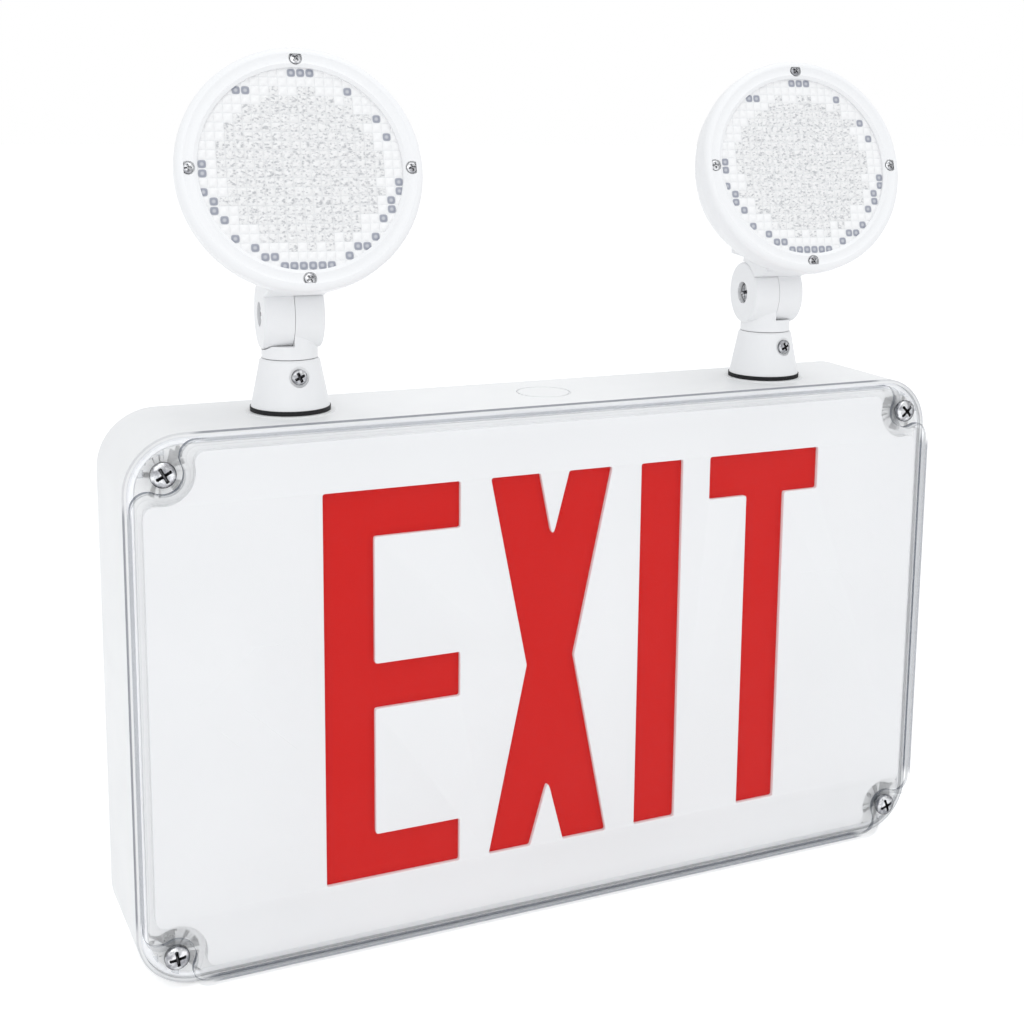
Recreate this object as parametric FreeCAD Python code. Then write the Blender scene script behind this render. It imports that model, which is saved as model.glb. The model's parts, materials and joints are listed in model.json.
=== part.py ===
"""Exit sign with two emergency lamp heads, for a wall.

Millimetres. The origin is on the back face, at the centre of the four wall fixing holes. +Z is
up and -Y is the front. The lamp heads turn about upright necks and tilt about level pivots.
"""

import FreeCAD, Part

import math
import os

V = FreeCAD.Vector
X_AXIS = V(1, 0, 0)
Y_AXIS = V(0, 1, 0)
Z_AXIS = V(0, 0, 1)

# Housing, a moulded tray that opens to the front
body_width = 343.6
body_height = 207.8
body_depth = 48.8
corner_radius = 22.0
draft = 0.6
wall = 2.5
back_wall = 2.5
lip_width = 10.0
lip_depth = 7.0
lip_slope = 6.5
rim_edge = 1.5
groove_width = 2.8
groove_depth = 4.6

# Front gasket and clear cover
gasket_height = 2.7
gasket_side_gap = 0.1
skirt_wall = 2.2
skirt_gap = 0.15
well_plate = 3.0
cover_rise = 9.0
cover_wall = 2.0
cover_edge_round = 1.3
notch_radius = 7.0
flare_radius = 6.0
corner_screw_inset = 13.5
rib_web = 1.2
rib_width = 1.6
rib_ring = 6.4
rib_angles = (22.0, 45.0, 68.0)

# Corner screws and their posts
screw_shank = 2.3
screw_head = 4.6
screw_head_height = 3.0
screw_length = 13.0
post_radius = 5.2
corner_land_lap = 2.0
pilot_radius = screw_shank
pilot_depth = 16.0

# Face plate, red diffuser and the light box behind them
panel_inset = 6.4
panel_notch = 11.4
panel_flare = 4.2
panel_front = 52.3
panel_plate = 2.0
panel_rim = 1.6
sign_width = 224.0
sign_end_margin = 17.9
sign_shift = 6.8
diffuser_thickness = 1.2
box_depth = 16.0
box_wall = 1.4
strip_height = 10.0
strip_thickness = 1.6
strip_inset = 26.0
led_side = 3.2
led_height = 1.2
led_count = 9

# Lamp head places on the top of the housing
lamp_spacing = 208.4
lamp_depth_place = 24.0
seat_radius = 16.6
seat_rise = 0.1
seat_thickness = 3.2
stem_hole_gap = 0.2

# Base cone, its gasket, lock nut and set screw
base_gasket_radius = 14.95
base_gasket_height = 1.7
cone_bottom_radius = 14.65
cone_top_radius = 11.2
cone_height = 18.0
cone_edge = 0.7
shank_radius = 6.5
shank_length = 12.0
wire_bore = 4.0
spigot_radius = 7.0
spigot_gap = 0.05
spigot_length = 15.5
nut_across = 19.0
nut_height = 5.0
set_screw_height = 12.2
set_screw_turns = {"left": 0.5, "right": 9.4}
set_screw_shank = 1.9
set_screw_head = 2.9
set_screw_head_height = 2.0
set_screw_seat = 11.3
set_screw_seat_radius = 3.8

# Neck and its pivot
neck_radius = 10.4
turn_gap = 0.3
pivot_rise = 16.3
shoulder_drop = 11.2
cheek_radius = 12.8
cheek_width = 10.95
cheek_gap = 0.16
cheek_edge = 0.8
saddle_gap = 0.4
pivot_radius = 2.4
pivot_gap = 0.05
pivot_end_gap = 0.05
pivot_head_radius = 4.1
pivot_head_height = 2.2
pivot_recess_radius = 4.6
pivot_recess_depth = 2.8
pivot_nut_across = 7.0
pivot_nut_height = 2.2

# Lamp head
rest_turns = {"left": -5.5, "right": -6.9}
rest_tilt = 16.3
lamp_forward = 44.8
lamp_rise = 43.9
bezel_radius = 43.3
bezel_round = 2.6
bezel_skirt = 7.4
bezel_skirt_wall = 1.3
bezel_dish = 0.5
lens_opening = 35.9
lens_radius = 37.0
lens_thickness = 2.4
lens_set_back = 1.8
lens_gap = 0.15
lens_gasket_height = 0.9
lens_gasket_width = 2.0
shell_radius = 43.0
shell_wall = 2.2
ledge_thickness = 2.6
bezel_screw_circle = 39.0
bezel_screw_radius = 1.1
bezel_screw_head = 2.2
bezel_screw_head_height = 1.1
bezel_screw_length = 10.0
bezel_post_radius = 2.9
reflector_wall = 1.2
reflector_depth = 30.0
reflector_throat = 14.0
lamp_board_radius = 16.0
lamp_board_thickness = 1.6
lamp_led_circle = 6.0
lamp_led_radius = 2.2
foot_heel = (-7.4, 18.5)
foot_notch = (4.2, 14.4)
foot_back = (2.6, 12.0)
foot_front = (12.0, 4.4)
foot_toe = (24.0, 4.4)
foot_top = 27.0

# Side of the lamp's bowl from front to back: depth, radius, and how far it leans in, in degrees
shell_rows = (
    (14.0, 41.8, 16.0),
    (34.0, 32.7, 27.0),
    (50.0, 23.6, 31.3),
    (53.7, 19.8, 60.0),
    (55.0, 14.7, 90.0),
)

# Electrics behind the light box
battery_cells = 5
cell_radius = 7.2
cell_gap = 0.3
cell_length = 50.0
battery_across = -55.0
battery_below_top = 65.9
battery_stand = 1.5
strap_width = 12.0
strap_thickness = 1.2
strap_foot = 9.0
board_size = (112.0, 64.0)
board_centre = (62.0, -26.0)
board_thickness = 1.6
board_stand = 7.0
board_post_inset = 5.0
board_post_radius = 3.2
board_hole_radius = 1.6
transformer_size = (30.0, 14.0, 26.0)
terminal_size = (24.0, 11.0, 10.0)

# Test button and charge light in the bottom face
button_place = (104.0, -23.5)
button_radius = 4.0
button_gap = 0.3
button_travel = 1.5
button_flange = 5.4
button_flange_height = 1.5
button_post = 2.4
button_post_height = 2.6
pocket_radius = 9.0
pocket_depth = 2.0
guide_radius = 8.0
guide_height = 8.6
guide_flare = 1.5
switch_side = 13.0
switch_height = 8.0
light_place_step = 19.0
light_radius = 2.6
light_flange = 3.6
light_seat = 5.2
light_seat_height = 0.6

# Wall fixing, box fixing and cable entry in the back
fixing_spacing_x = 262.0
fixing_spacing_z = 140.0
fixing_hole = 2.6
fixing_pad = 7.0
fixing_pad_height = 2.0
box_spacing = 88.9
box_hole = 2.4
cable_radius = 11.1
cable_collar = 13.6
cable_collar_height = 6.0
knockout_radius = 11.1
knockout_groove = 0.9
knockout_depth = 0.6
knockout_place = -24.0
stiffener = 1.6
stiffener_height = 6.0
stiffener_start = 30.0
stiffener_inset = 20.0

SIDES = {"left": -1.0, "right": 1.0}

front_half_width = body_width / 2 - draft
front_half_height = body_height / 2 - draft
screw_x = front_half_width - corner_screw_inset
screw_z = front_half_height - corner_screw_inset
skirt_inset = rim_edge + skirt_gap
gasket_back = body_depth - groove_depth
skirt_back = gasket_back + gasket_height
well_front = body_depth + well_plate
cover_front = body_depth + cover_rise
panel_back = panel_front - panel_plate
seat_top = body_height / 2 + seat_rise
cone_base = seat_top + base_gasket_height
cone_top = cone_base + cone_height
pivot_height = cone_top + pivot_rise
lens_back = lens_set_back + lens_thickness
ledge_front = lens_back + lens_gasket_height
box_back = panel_back - diffuser_thickness - box_depth
cell_pitch = 2 * cell_radius + cell_gap
battery_half = (battery_cells * cell_pitch - cell_gap) / 2
battery_centre = (battery_across, body_height / 2 - battery_below_top)
sign_height = body_height - 2 * sign_end_margin
shell_depth = shell_rows[-1][0]


def arc(start, middle, end):
    return Part.Arc(start, middle, end).toShape()


def prism(wire, length):
    """Extrudes a closed outline in an XZ plane towards the front by length."""
    return Part.Face(wire).extrude(V(0, -length, 0))


def corners(half_x, half_z):
    return [V(sx * half_x, 0, sz * half_z) for sx in (-1, 1) for sz in (-1, 1)]


def rod(radius, base, direction, length):
    return Part.makeCylinder(radius, length, base, direction)


def block(low, high):
    size = high - low
    return Part.makeBox(size.x, size.y, size.z, low)


def hexagon(across, height, base, direction):
    """Six-sided prism, drawn along +Z and then turned to direction."""
    reach = across / 2 / math.cos(math.radians(30))
    ring = [V(reach * math.cos(math.radians(60 * i)), reach * math.sin(math.radians(60 * i)), 0)
            for i in range(6)]
    solid = Part.Face(Part.makePolygon(ring + [ring[0]])).extrude(V(0, 0, height))
    solid.Placement = FreeCAD.Placement(base, FreeCAD.Rotation(Z_AXIS, direction))
    return solid


def fused(first, others):
    return first.fuse(others).removeSplitter()


def rounded_outline(half_x, half_z, radius, depth):
    """Rounded rectangle in the XZ plane, depth in front of the wall."""
    wire_edges = []
    turn = radius * (1 - math.sqrt(0.5))
    centres = [(1, 1, 0), (-1, 1, 90), (-1, -1, 180), (1, -1, 270)]
    for number, (sx, sz, start) in enumerate(centres):
        middle = V(sx * (half_x - turn), -depth, sz * (half_z - turn))
        if start in (0, 180):
            first = V(sx * half_x, -depth, sz * (half_z - radius))
            last = V(sx * (half_x - radius), -depth, sz * half_z)
        else:
            first = V(sx * (half_x - radius), -depth, sz * half_z)
            last = V(sx * half_x, -depth, sz * (half_z - radius))
        wire_edges.append((first, middle, last))
    edges = []
    for number, (first, middle, last) in enumerate(wire_edges):
        edges.append(arc(first, middle, last))
        edges.append(Part.LineSegment(last, wire_edges[(number + 1) % 4][0]).toShape())
    return Part.Wire(edges)


def housing_outline(inset, depth):
    """The housing's own outline at a depth, with its draft, moved inwards by inset."""
    taper = draft * depth / body_depth
    return rounded_outline(body_width / 2 - taper - inset, body_height / 2 - taper - inset,
                           corner_radius - taper - inset, depth)


def front_outline(inset, depth):
    """The outline at the housing's front edge, carried straight forwards or back."""
    return rounded_outline(front_half_width - inset, front_half_height - inset,
                           corner_radius - draft - inset, depth)


def notched_outline(edge, notch, flare, depth):
    """Rectangle in the XZ plane with a round notch about each corner screw.

    The sides lie edge inside the housing's outline. At each corner the side flares inwards
    along an arc of radius flare, runs round the screw along an arc of radius notch, and flares
    out again to meet the next side.
    """
    half_x = front_half_width - edge
    half_z = front_half_height - edge
    reach = flare + notch
    low = screw_z - math.sqrt(reach ** 2 - (half_x - flare - screw_x) ** 2)
    side = screw_x - math.sqrt(reach ** 2 - (half_z - flare - screw_z) ** 2)
    screw = V(screw_x, -depth, screw_z)
    lower = V(half_x - flare, -depth, low)
    upper = V(side, -depth, half_z - flare)

    def bulge(centre, radius, first, last):
        ahead = (first - centre).normalize() + (last - centre).normalize()
        return centre + ahead.normalize() * radius

    lower_touch = lower + (screw - lower) * (flare / reach)
    upper_touch = upper + (screw - upper) * (flare / reach)
    lower_end = V(half_x, -depth, low)
    upper_end = V(side, -depth, half_z)
    inner = screw + V(-1, 0, -1).normalize() * notch
    corner = [
        (lower_end, bulge(lower, flare, lower_end, lower_touch), lower_touch),
        (lower_touch, inner, upper_touch),
        (upper_touch, bulge(upper, flare, upper_touch, upper_end), upper_end),
    ]
    edges = []
    ends = []
    for sx, sz, forwards in ((1, 1, True), (-1, 1, False), (-1, -1, True), (1, -1, False)):
        run = [[V(sx * p.x, p.y, sz * p.z) for p in points] for points in corner]
        if not forwards:
            run = [points[::-1] for points in run[::-1]]
        edges.append([arc(*points) for points in run])
        ends.append((run[0][0], run[-1][2]))
    outline = []
    for number in range(4):
        outline += edges[number]
        outline.append(Part.LineSegment(ends[number][1], ends[(number + 1) % 4][0]).toShape())
    return Part.Wire(outline)


def raised_outline(inset, depth):
    """Outline of the cover's raised face, moved inwards by inset."""
    return notched_outline(skirt_inset + inset, notch_radius + inset, flare_radius - inset, depth)


def panel_outline(inset, depth):
    """Outline of the face plate, moved inwards by inset."""
    return notched_outline(panel_inset + inset, panel_notch + inset, panel_flare - inset, depth)


def lamp_places():
    return {side: V(sign * lamp_spacing / 2, -lamp_depth_place, 0) for side, sign in SIDES.items()}


def board_posts():
    half_x = board_size[0] / 2 - board_post_inset
    half_z = board_size[1] / 2 - board_post_inset
    middle = V(board_centre[0], 0, board_centre[1])
    return [middle + corner for corner in corners(half_x, half_z)]


def strap_feet():
    reach = battery_half + strap_foot / 2 + strap_thickness
    return [V(battery_centre[0], 0, battery_centre[1] + sign * reach) for sign in (-1, 1)]


def housing_shell():
    """Tray with draft, a thicker lip round its mouth that slopes into the wall, and corner lands.

    A land fills each corner behind the face plate's notch, so that the plate's rim stands on it.
    """
    tray = Part.makeLoft([housing_outline(0, 0), housing_outline(0, body_depth)], True, True)
    shelf = body_depth - lip_depth
    cavity = Part.makeLoft([
        housing_outline(wall, back_wall),
        housing_outline(wall, shelf - lip_slope),
        housing_outline(lip_width, shelf),
        housing_outline(lip_width, body_depth),
    ], True, True)
    lands = [rod(panel_notch + corner_land_lap, p + V(0, -shelf, 0), -Y_AXIS, lip_depth)
             for p in corners(screw_x, screw_z)]
    return tray.cut(cavity).fuse([land.common(tray) for land in lands])


def gasket_groove():
    groove = prism(front_outline(rim_edge, gasket_back), groove_depth)
    return groove.cut(prism(front_outline(rim_edge + groove_width, gasket_back), groove_depth))


def housing_posts():
    """Corner posts, lamp seats, board posts, strap posts, pads, cable collar and stiffeners."""
    posts = [rod(post_radius, p + V(0, -1, 0), -Y_AXIS, body_depth - 1)
             for p in corners(screw_x, screw_z)]
    for place in lamp_places().values():
        posts.append(rod(seat_radius, place + V(0, 0, seat_top - seat_thickness), Z_AXIS,
                         seat_thickness))
    for place in board_posts():
        posts.append(rod(board_post_radius, place + V(0, -1, 0), -Y_AXIS,
                         back_wall + board_stand - 1))
    for place in strap_feet():
        posts.append(rod(strap_foot / 2, place + V(0, -1, 0), -Y_AXIS,
                         back_wall + battery_stand - 1))
    for sign in (-1, 1):
        rib = battery_centre[0] + sign * cell_length * 0.3
        posts.append(block(V(rib - stiffener / 2, -back_wall - battery_stand,
                             battery_centre[1] - battery_half),
                           V(rib + stiffener / 2, -1, battery_centre[1] + battery_half)))
    for place in corners(fixing_spacing_x / 2, fixing_spacing_z / 2):
        posts.append(rod(fixing_pad, place + V(0, -1, 0), -Y_AXIS,
                         back_wall + fixing_pad_height - 1))
    posts.append(rod(cable_collar, V(0, -1, 0), -Y_AXIS, back_wall + cable_collar_height - 1))
    guide = V(button_place[0], button_place[1], -body_height / 2 + pocket_depth)
    posts.append(rod(guide_radius + guide_flare, guide + V(0, 0, -1), Z_AXIS, wall + 1))
    posts.append(rod(guide_radius, guide, Z_AXIS, guide_height))
    seat = V(button_place[0] - light_place_step, button_place[1], -body_height / 2 + 1)
    posts.append(rod(light_seat, seat, Z_AXIS, wall + light_seat_height - 1))
    for sign in (-1, 1):
        start, end = sorted((sign * stiffener_start, sign * (body_width / 2 - wall - 1)))
        level = sign * (body_height / 2 - stiffener_inset)
        posts.append(block(V(start, -back_wall - stiffener_height, level - stiffener / 2),
                           V(end, -1, level + stiffener / 2)))
    return posts


def housing_holes():
    """Pilot holes, stem holes, fixing holes, cable entry, knockout ring and button guide."""
    holes = [rod(pilot_radius, p + V(0, -body_depth - 1, 0), Y_AXIS, pilot_depth + 1)
             for p in corners(screw_x, screw_z)]
    for place in lamp_places().values():
        holes.append(rod(shank_radius + stem_hole_gap, place + V(0, 0, seat_top - 10), Z_AXIS, 20))
    for place in board_posts() + strap_feet():
        holes.append(rod(board_hole_radius, place + V(0, -back_wall - board_stand - 1, 0),
                         Y_AXIS, board_stand))
    for place in corners(fixing_spacing_x / 2, fixing_spacing_z / 2):
        holes.append(rod(fixing_hole, place + V(0, 1, 0), -Y_AXIS, 20))
    for sign in (-1, 1):
        holes.append(rod(box_hole, V(sign * box_spacing / 2, 1, 0), -Y_AXIS, 20))
    holes.append(rod(cable_radius, V(0, 1, 0), -Y_AXIS, 20))
    top = V(0, knockout_place, body_height / 2 - draft * 0.5 - knockout_depth)
    ring = rod(knockout_radius, top, Z_AXIS, 5)
    holes.append(ring.cut(rod(knockout_radius - knockout_groove, top, Z_AXIS, 5)))
    bottom = V(button_place[0], button_place[1], -body_height / 2)
    holes.append(rod(pocket_radius, bottom + V(0, 0, -1), Z_AXIS, pocket_depth + 1))
    holes.append(rod(button_radius + button_gap, bottom, Z_AXIS, 8))
    chamber = bottom + V(0, 0, pocket_depth + wall)
    holes.append(rod(button_flange + button_gap, chamber, Z_AXIS, guide_height))
    light = bottom + V(-light_place_step, 0, -1)
    holes.append(rod(light_radius + 0.1, light, Z_AXIS, 10))
    return holes


def make_back_housing():
    solid = fused(housing_shell(), housing_posts())
    return solid.cut([gasket_groove()] + housing_holes()).removeSplitter()


def make_housing_gasket():
    outer = rim_edge + gasket_side_gap
    inner = rim_edge + groove_width - gasket_side_gap
    ring = prism(front_outline(outer, gasket_back), gasket_height)
    return ring.cut(prism(front_outline(inner, gasket_back), gasket_height))


def well_pockets():
    """Pockets behind each corner plate, between a ring about the screw and radial ribs."""
    wedges = []
    for corner in corners(screw_x, screw_z):
        rim = prism(front_outline(skirt_inset + skirt_wall, body_depth), well_plate - rib_web)
        side = block(V(screw_x - 1, -well_front, screw_z - 1), V(200, -body_depth, 200))
        side = mirrored_to(side, corner)
        space = rim.common(side)
        space = space.cut(rod(rib_ring, corner + V(0, -body_depth, 0), -Y_AXIS, well_plate))
        for angle in rib_angles:
            rib = block(V(0, -well_front, -rib_width / 2), V(60, -body_depth, rib_width / 2))
            rib.rotate(V(), Y_AXIS, -angle)
            rib.translate(V(screw_x, 0, screw_z))
            space = space.cut(mirrored_to(rib, corner))
        wedges.append(space)
    return wedges


def mirrored_to(solid, corner):
    """Carries a solid drawn in the +X, +Z corner to the corner that a point lies in."""
    if corner.x < 0:
        solid = solid.mirror(V(), X_AXIS)
    if corner.z < 0:
        solid = solid.mirror(V(), Z_AXIS)
    return solid


def make_clear_cover():
    skirt = prism(front_outline(skirt_inset, skirt_back), well_front - skirt_back)
    raised = prism(raised_outline(0, well_front - 0.5), cover_front - well_front + 0.5)
    rim = [edge for edge in raised.Edges
           if all(abs(v.Y + cover_front) < 1e-6 for v in edge.Vertexes)]
    raised = raised.makeFillet(cover_edge_round, rim)
    solid = fused(skirt, [raised])
    solid = solid.cut(prism(front_outline(skirt_inset + skirt_wall, skirt_back),
                            body_depth - skirt_back))
    hollow = prism(raised_outline(cover_wall, body_depth - 1),
                   cover_front - cover_wall - body_depth + 1)
    solid = solid.cut([hollow] + well_pockets())
    holes = [rod(screw_shank + 0.3, p + V(0, -skirt_back, 0), -Y_AXIS, 20)
             for p in corners(screw_x, screw_z)]
    return solid.cut(holes).removeSplitter()


def pan_screw(radius, head, head_height, length):
    """Pan-head screw along -Z from the origin, which is under its head."""
    crown = head_height * 0.4
    side = head_height - crown
    flat = head * 0.45
    profile = [
        Part.LineSegment(V(0, 0, -length), V(radius, 0, -length)).toShape(),
        Part.LineSegment(V(radius, 0, -length), V(radius, 0, 0)).toShape(),
        Part.LineSegment(V(radius, 0, 0), V(head, 0, 0)).toShape(),
        Part.LineSegment(V(head, 0, 0), V(head, 0, side)).toShape(),
        arc(V(head, 0, side), V(head * 0.83, 0, side + crown * 0.7), V(flat, 0, head_height)),
        Part.LineSegment(V(flat, 0, head_height), V(0, 0, head_height)).toShape(),
        Part.LineSegment(V(0, 0, head_height), V(0, 0, -length)).toShape(),
    ]
    return Part.Face(Part.Wire(profile)).revolve(V(), Z_AXIS, 360)


def set_along(solid, base, direction):
    placed = solid.copy()
    placed.Placement = FreeCAD.Placement(base, FreeCAD.Rotation(Z_AXIS, direction))
    return placed


def make_cover_screws():
    screw = pan_screw(screw_shank, screw_head, screw_head_height, screw_length)
    return Part.makeCompound([set_along(screw, p + V(0, -well_front, 0), -Y_AXIS)
                              for p in corners(screw_x, screw_z)])


def make_face_panel():
    """Face plate with a rim behind it that stands on the housing's lip."""
    solid = prism(panel_outline(0, body_depth), panel_front - body_depth)
    hollow = prism(panel_outline(panel_rim, body_depth - 1), panel_back - body_depth + 1)
    return solid.cut(hollow)


def sign_block(grow, back, front):
    """Block behind the letters, from back to front in front of the wall."""
    half_x = sign_width / 2 + grow
    half_z = sign_height / 2 + grow
    return block(V(sign_shift - half_x, -front, -half_z), V(sign_shift + half_x, -back, half_z))


def make_red_diffuser():
    return sign_block(0, panel_back - diffuser_thickness, panel_back)


def make_light_box():
    """White box, open to the front, that spreads the light behind the diffuser."""
    front = panel_back - diffuser_thickness
    shell = sign_block(0, box_back, front)
    hollow = sign_block(-box_wall, box_back + box_wall, front)
    return shell.cut(hollow)


def make_led_strip(sign):
    """Narrow circuit board with a row of light sources, on the light box's floor."""
    base = box_back + box_wall
    height = sign * (sign_height / 2 - strip_inset)
    half = sign_width / 2 - strip_inset / 2
    strip = block(V(sign_shift - half, -base - strip_thickness, height - strip_height / 2),
                  V(sign_shift + half, -base, height + strip_height / 2))
    step = 2 * half / led_count
    leds = []
    for number in range(led_count):
        middle = sign_shift - half + step * (number + 0.5)
        leds.append(block(V(middle - led_side / 2, -base - strip_thickness - led_height,
                            height - led_side / 2),
                          V(middle + led_side / 2, -base - strip_thickness,
                            height + led_side / 2)))
    return fused(strip, leds)


def make_battery_pack():
    """Row of cells side by side, held by a sleeve that fills the gaps between them."""
    start = battery_centre[0] - cell_length / 2
    depth = -back_wall - battery_stand - cell_radius
    first = battery_centre[1] - battery_half + cell_radius
    cells = [rod(cell_radius, V(start, depth, first + cell_pitch * i), X_AXIS, cell_length)
             for i in range(battery_cells)]
    web = cell_radius * 0.8
    last = first + cell_pitch * (battery_cells - 1)
    sleeve = block(V(start + 1, depth - web, first), V(start + cell_length - 1, depth + web, last))
    return fused(sleeve, cells)


def make_battery_strap():
    """Bent strap over the cells, with a foot and a screw hole at each end."""
    half = battery_half
    back = back_wall + battery_stand
    top = back + 2 * cell_radius
    left = battery_centre[0] - strap_width / 2
    right = battery_centre[0] + strap_width / 2
    middle = battery_centre[1]
    outer = block(V(left, -top - strap_thickness, middle - half - strap_thickness),
                  V(right, -back, middle + half + strap_thickness))
    inner = block(V(left - 1, -top, middle - half), V(right + 1, -back + 1, middle + half))
    reach = half + strap_thickness + strap_foot
    feet = block(V(left, -back - strap_thickness, middle - reach),
                 V(right, -back, middle + reach))
    solid = outer.fuse(feet).cut(inner)
    holes = [rod(board_hole_radius, place, -Y_AXIS, back + strap_thickness + 1)
             for place in strap_feet()]
    return solid.cut(holes).removeSplitter()


def make_charger_board():
    """Circuit board with capacitors and a relay standing on it."""
    back = back_wall + board_stand
    half_x = board_size[0] / 2
    half_z = board_size[1] / 2
    middle = V(board_centre[0], 0, board_centre[1])
    board = block(middle + V(-half_x, -back - board_thickness, -half_z),
                  middle + V(half_x, -back, half_z))
    front = middle + V(0, -back - board_thickness, 0)
    tall = [rod(radius, front + V(x, 0.5, z), -Y_AXIS, height + 0.5)
            for radius, height, x, z in ((5.0, 13.0, -20.0, 18.0), (5.0, 13.0, -7.0, 18.0),
                                         (3.2, 9.0, 6.0, 20.0))]
    relay = block(front + V(16, -12, 10), front + V(34, 0.5, 24))
    solid = fused(board, tall + [relay])
    holes = [rod(board_hole_radius, place, -Y_AXIS, back + 4) for place in board_posts()]
    return solid.cut(holes)


def board_front():
    return V(board_centre[0], -back_wall - board_stand - board_thickness, board_centre[1])


def make_transformer():
    """Wound core on the board: a winding between two cheeks of the core."""
    size = transformer_size
    base = board_front() + V(-36, 0, -14)
    core = block(base + V(-size[0] / 2, -size[1], -size[2] / 2),
                 base + V(size[0] / 2, 0, size[2] / 2))
    window = 4.0
    for sign in (-1, 1):
        slot = block(base + V(-size[0] / 2 + window, -size[1] - 1, sign * 6 - 2.5),
                     base + V(size[0] / 2 - window, -2.5, sign * 6 + 2.5))
        core = core.cut(slot)
    return core.removeSplitter()


def make_terminal_block():
    """Row of wire clamps on the board's lower edge."""
    size = terminal_size
    base = board_front() + V(26, 0, -20)
    solid = block(base + V(-size[0] / 2, -size[1], -size[2] / 2),
                  base + V(size[0] / 2, 0, size[2] / 2))
    count = 4
    pitch = size[0] / count
    for number in range(count):
        x = -size[0] / 2 + pitch * (number + 0.5)
        solid = solid.cut(rod(1.8, base + V(x, -size[1] - 1, 1.5), Y_AXIS, 4))
        solid = solid.cut(block(base + V(x - 1.8, -size[1] + 3, -size[2] / 2 - 1),
                                base + V(x + 1.8, -size[1] + 7, -size[2] / 2 + 5)))
    return solid.removeSplitter()


def button_base():
    """Centre of the button guide, on the pocket's floor in the bottom face."""
    return V(button_place[0], button_place[1], -body_height / 2 + pocket_depth)


def make_test_button():
    """Button with a flange that rests on the inside of the wall, and a post for the switch."""
    floor = button_base()
    low = floor + V(0, 0, -button_travel)
    seat = floor + V(0, 0, wall)
    stem = rod(button_radius, low, Z_AXIS, button_travel + wall + 0.5)
    stem = stem.makeFillet(0.8, [e for e in stem.Edges if abs(e.CenterOfMass.z - low.z) < 1e-6])
    flange = rod(button_flange, seat, Z_AXIS, button_flange_height)
    post = rod(button_post, seat, Z_AXIS, button_flange_height + button_post_height)
    return fused(stem, [flange, post])


def make_test_switch():
    """Switch that closes the top of the button's guide."""
    base = button_base() + V(0, 0, guide_height)
    half = switch_side / 2
    body = block(base + V(-half, -half, 0), base + V(half, half, switch_height))
    pins = [rod(0.6, base + V(x, y, switch_height - 0.5), Z_AXIS, 4)
            for x in (-4, 4) for y in (-3, 3)]
    return fused(body, pins)


def make_status_lamp():
    """Charge light: a round-nosed lens with a flange inside the bottom wall."""
    place = V(button_place[0] - light_place_step, button_place[1], -body_height / 2)
    inside = place + V(0, 0, wall + light_seat_height)
    lens = rod(light_radius, place + V(0, 0, -0.2), Z_AXIS, wall + 5)
    lens = lens.makeFillet(1.6, [e for e in lens.Edges
                                 if abs(e.CenterOfMass.z - place.z + 0.2) < 1e-6])
    return fused(lens, [rod(light_flange, inside, Z_AXIS, 1.2)])


def make_base_gasket(place):
    ring = rod(base_gasket_radius, place + V(0, 0, seat_top), Z_AXIS, base_gasket_height)
    return ring.cut(rod(shank_radius + stem_hole_gap, place + V(0, 0, seat_top), Z_AXIS, 5))


def set_screw_direction(side):
    """Level direction in which the set screw's head points, turned from straight ahead."""
    turn = math.radians(set_screw_turns[side])
    return V(math.sin(turn), -math.cos(turn), 0)


def make_base_cone(place, side):
    """Tapered base with a threaded shank below and the socket for the neck above."""
    edge = cone_edge
    points = [
        V(wire_bore, 0, cone_base - shank_length), V(shank_radius, 0, cone_base - shank_length),
        V(shank_radius, 0, cone_base), V(cone_bottom_radius, 0, cone_base),
        V(cone_top_radius, 0, cone_top - edge), V(cone_top_radius - edge, 0, cone_top),
        V(spigot_radius + spigot_gap, 0, cone_top),
        V(spigot_radius + spigot_gap, 0, cone_top - spigot_length),
        V(wire_bore, 0, cone_top - spigot_length), V(wire_bore, 0, cone_base - shank_length),
    ]
    solid = Part.Face(Part.makePolygon(points)).revolve(V(), Z_AXIS, 360)
    solid.translate(place)
    height = place + V(0, 0, cone_base + set_screw_height)
    out = set_screw_direction(side)
    solid = solid.cut(rod(set_screw_seat_radius, height + out * set_screw_seat, out, 6))
    return solid.cut(rod(set_screw_shank, height, out, cone_bottom_radius)).removeSplitter()


def make_set_screw(place, side):
    out = set_screw_direction(side)
    under_head = place + V(0, 0, cone_base + set_screw_height) + out * set_screw_seat
    length = set_screw_seat - spigot_radius - turn_gap
    return set_along(pan_screw(set_screw_shank, set_screw_head, set_screw_head_height, length),
                     under_head, out)


def make_lock_nut(place):
    base = place + V(0, 0, seat_top - seat_thickness - nut_height)
    nut = hexagon(nut_across, nut_height, base, Z_AXIS)
    return nut.cut(rod(shank_radius + spigot_gap, base, Z_AXIS, nut_height))


def pivot_point(place):
    return place + V(0, 0, pivot_height)


def cheek(side_sign, radius):
    """Half of the knuckle: a disc on one side of the middle plane, about the pivot."""
    start = cheek_gap / 2
    disc = rod(radius, V(start, 0, 0), X_AXIS, cheek_width)
    outer_face = start + cheek_width
    disc = disc.makeFillet(cheek_edge, [edge for edge in disc.Edges
                                        if abs(edge.CenterOfMass.x - outer_face) < 1e-6])
    if side_sign < 0:
        disc = disc.mirror(V(), X_AXIS)
    return disc


def knuckle_cuts():
    """Pivot hole through both cheeks, with a round recess in each outer face."""
    reach = cheek_gap / 2 + cheek_width
    hole = rod(pivot_radius + pivot_gap, V(-reach - 1, 0, 0), X_AXIS, 2 * reach + 2)
    recesses = [rod(pivot_recess_radius, V(sign * (reach - pivot_recess_depth), 0, 0),
                    X_AXIS * sign, 5) for sign in (-1, 1)]
    return [hole] + recesses


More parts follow.
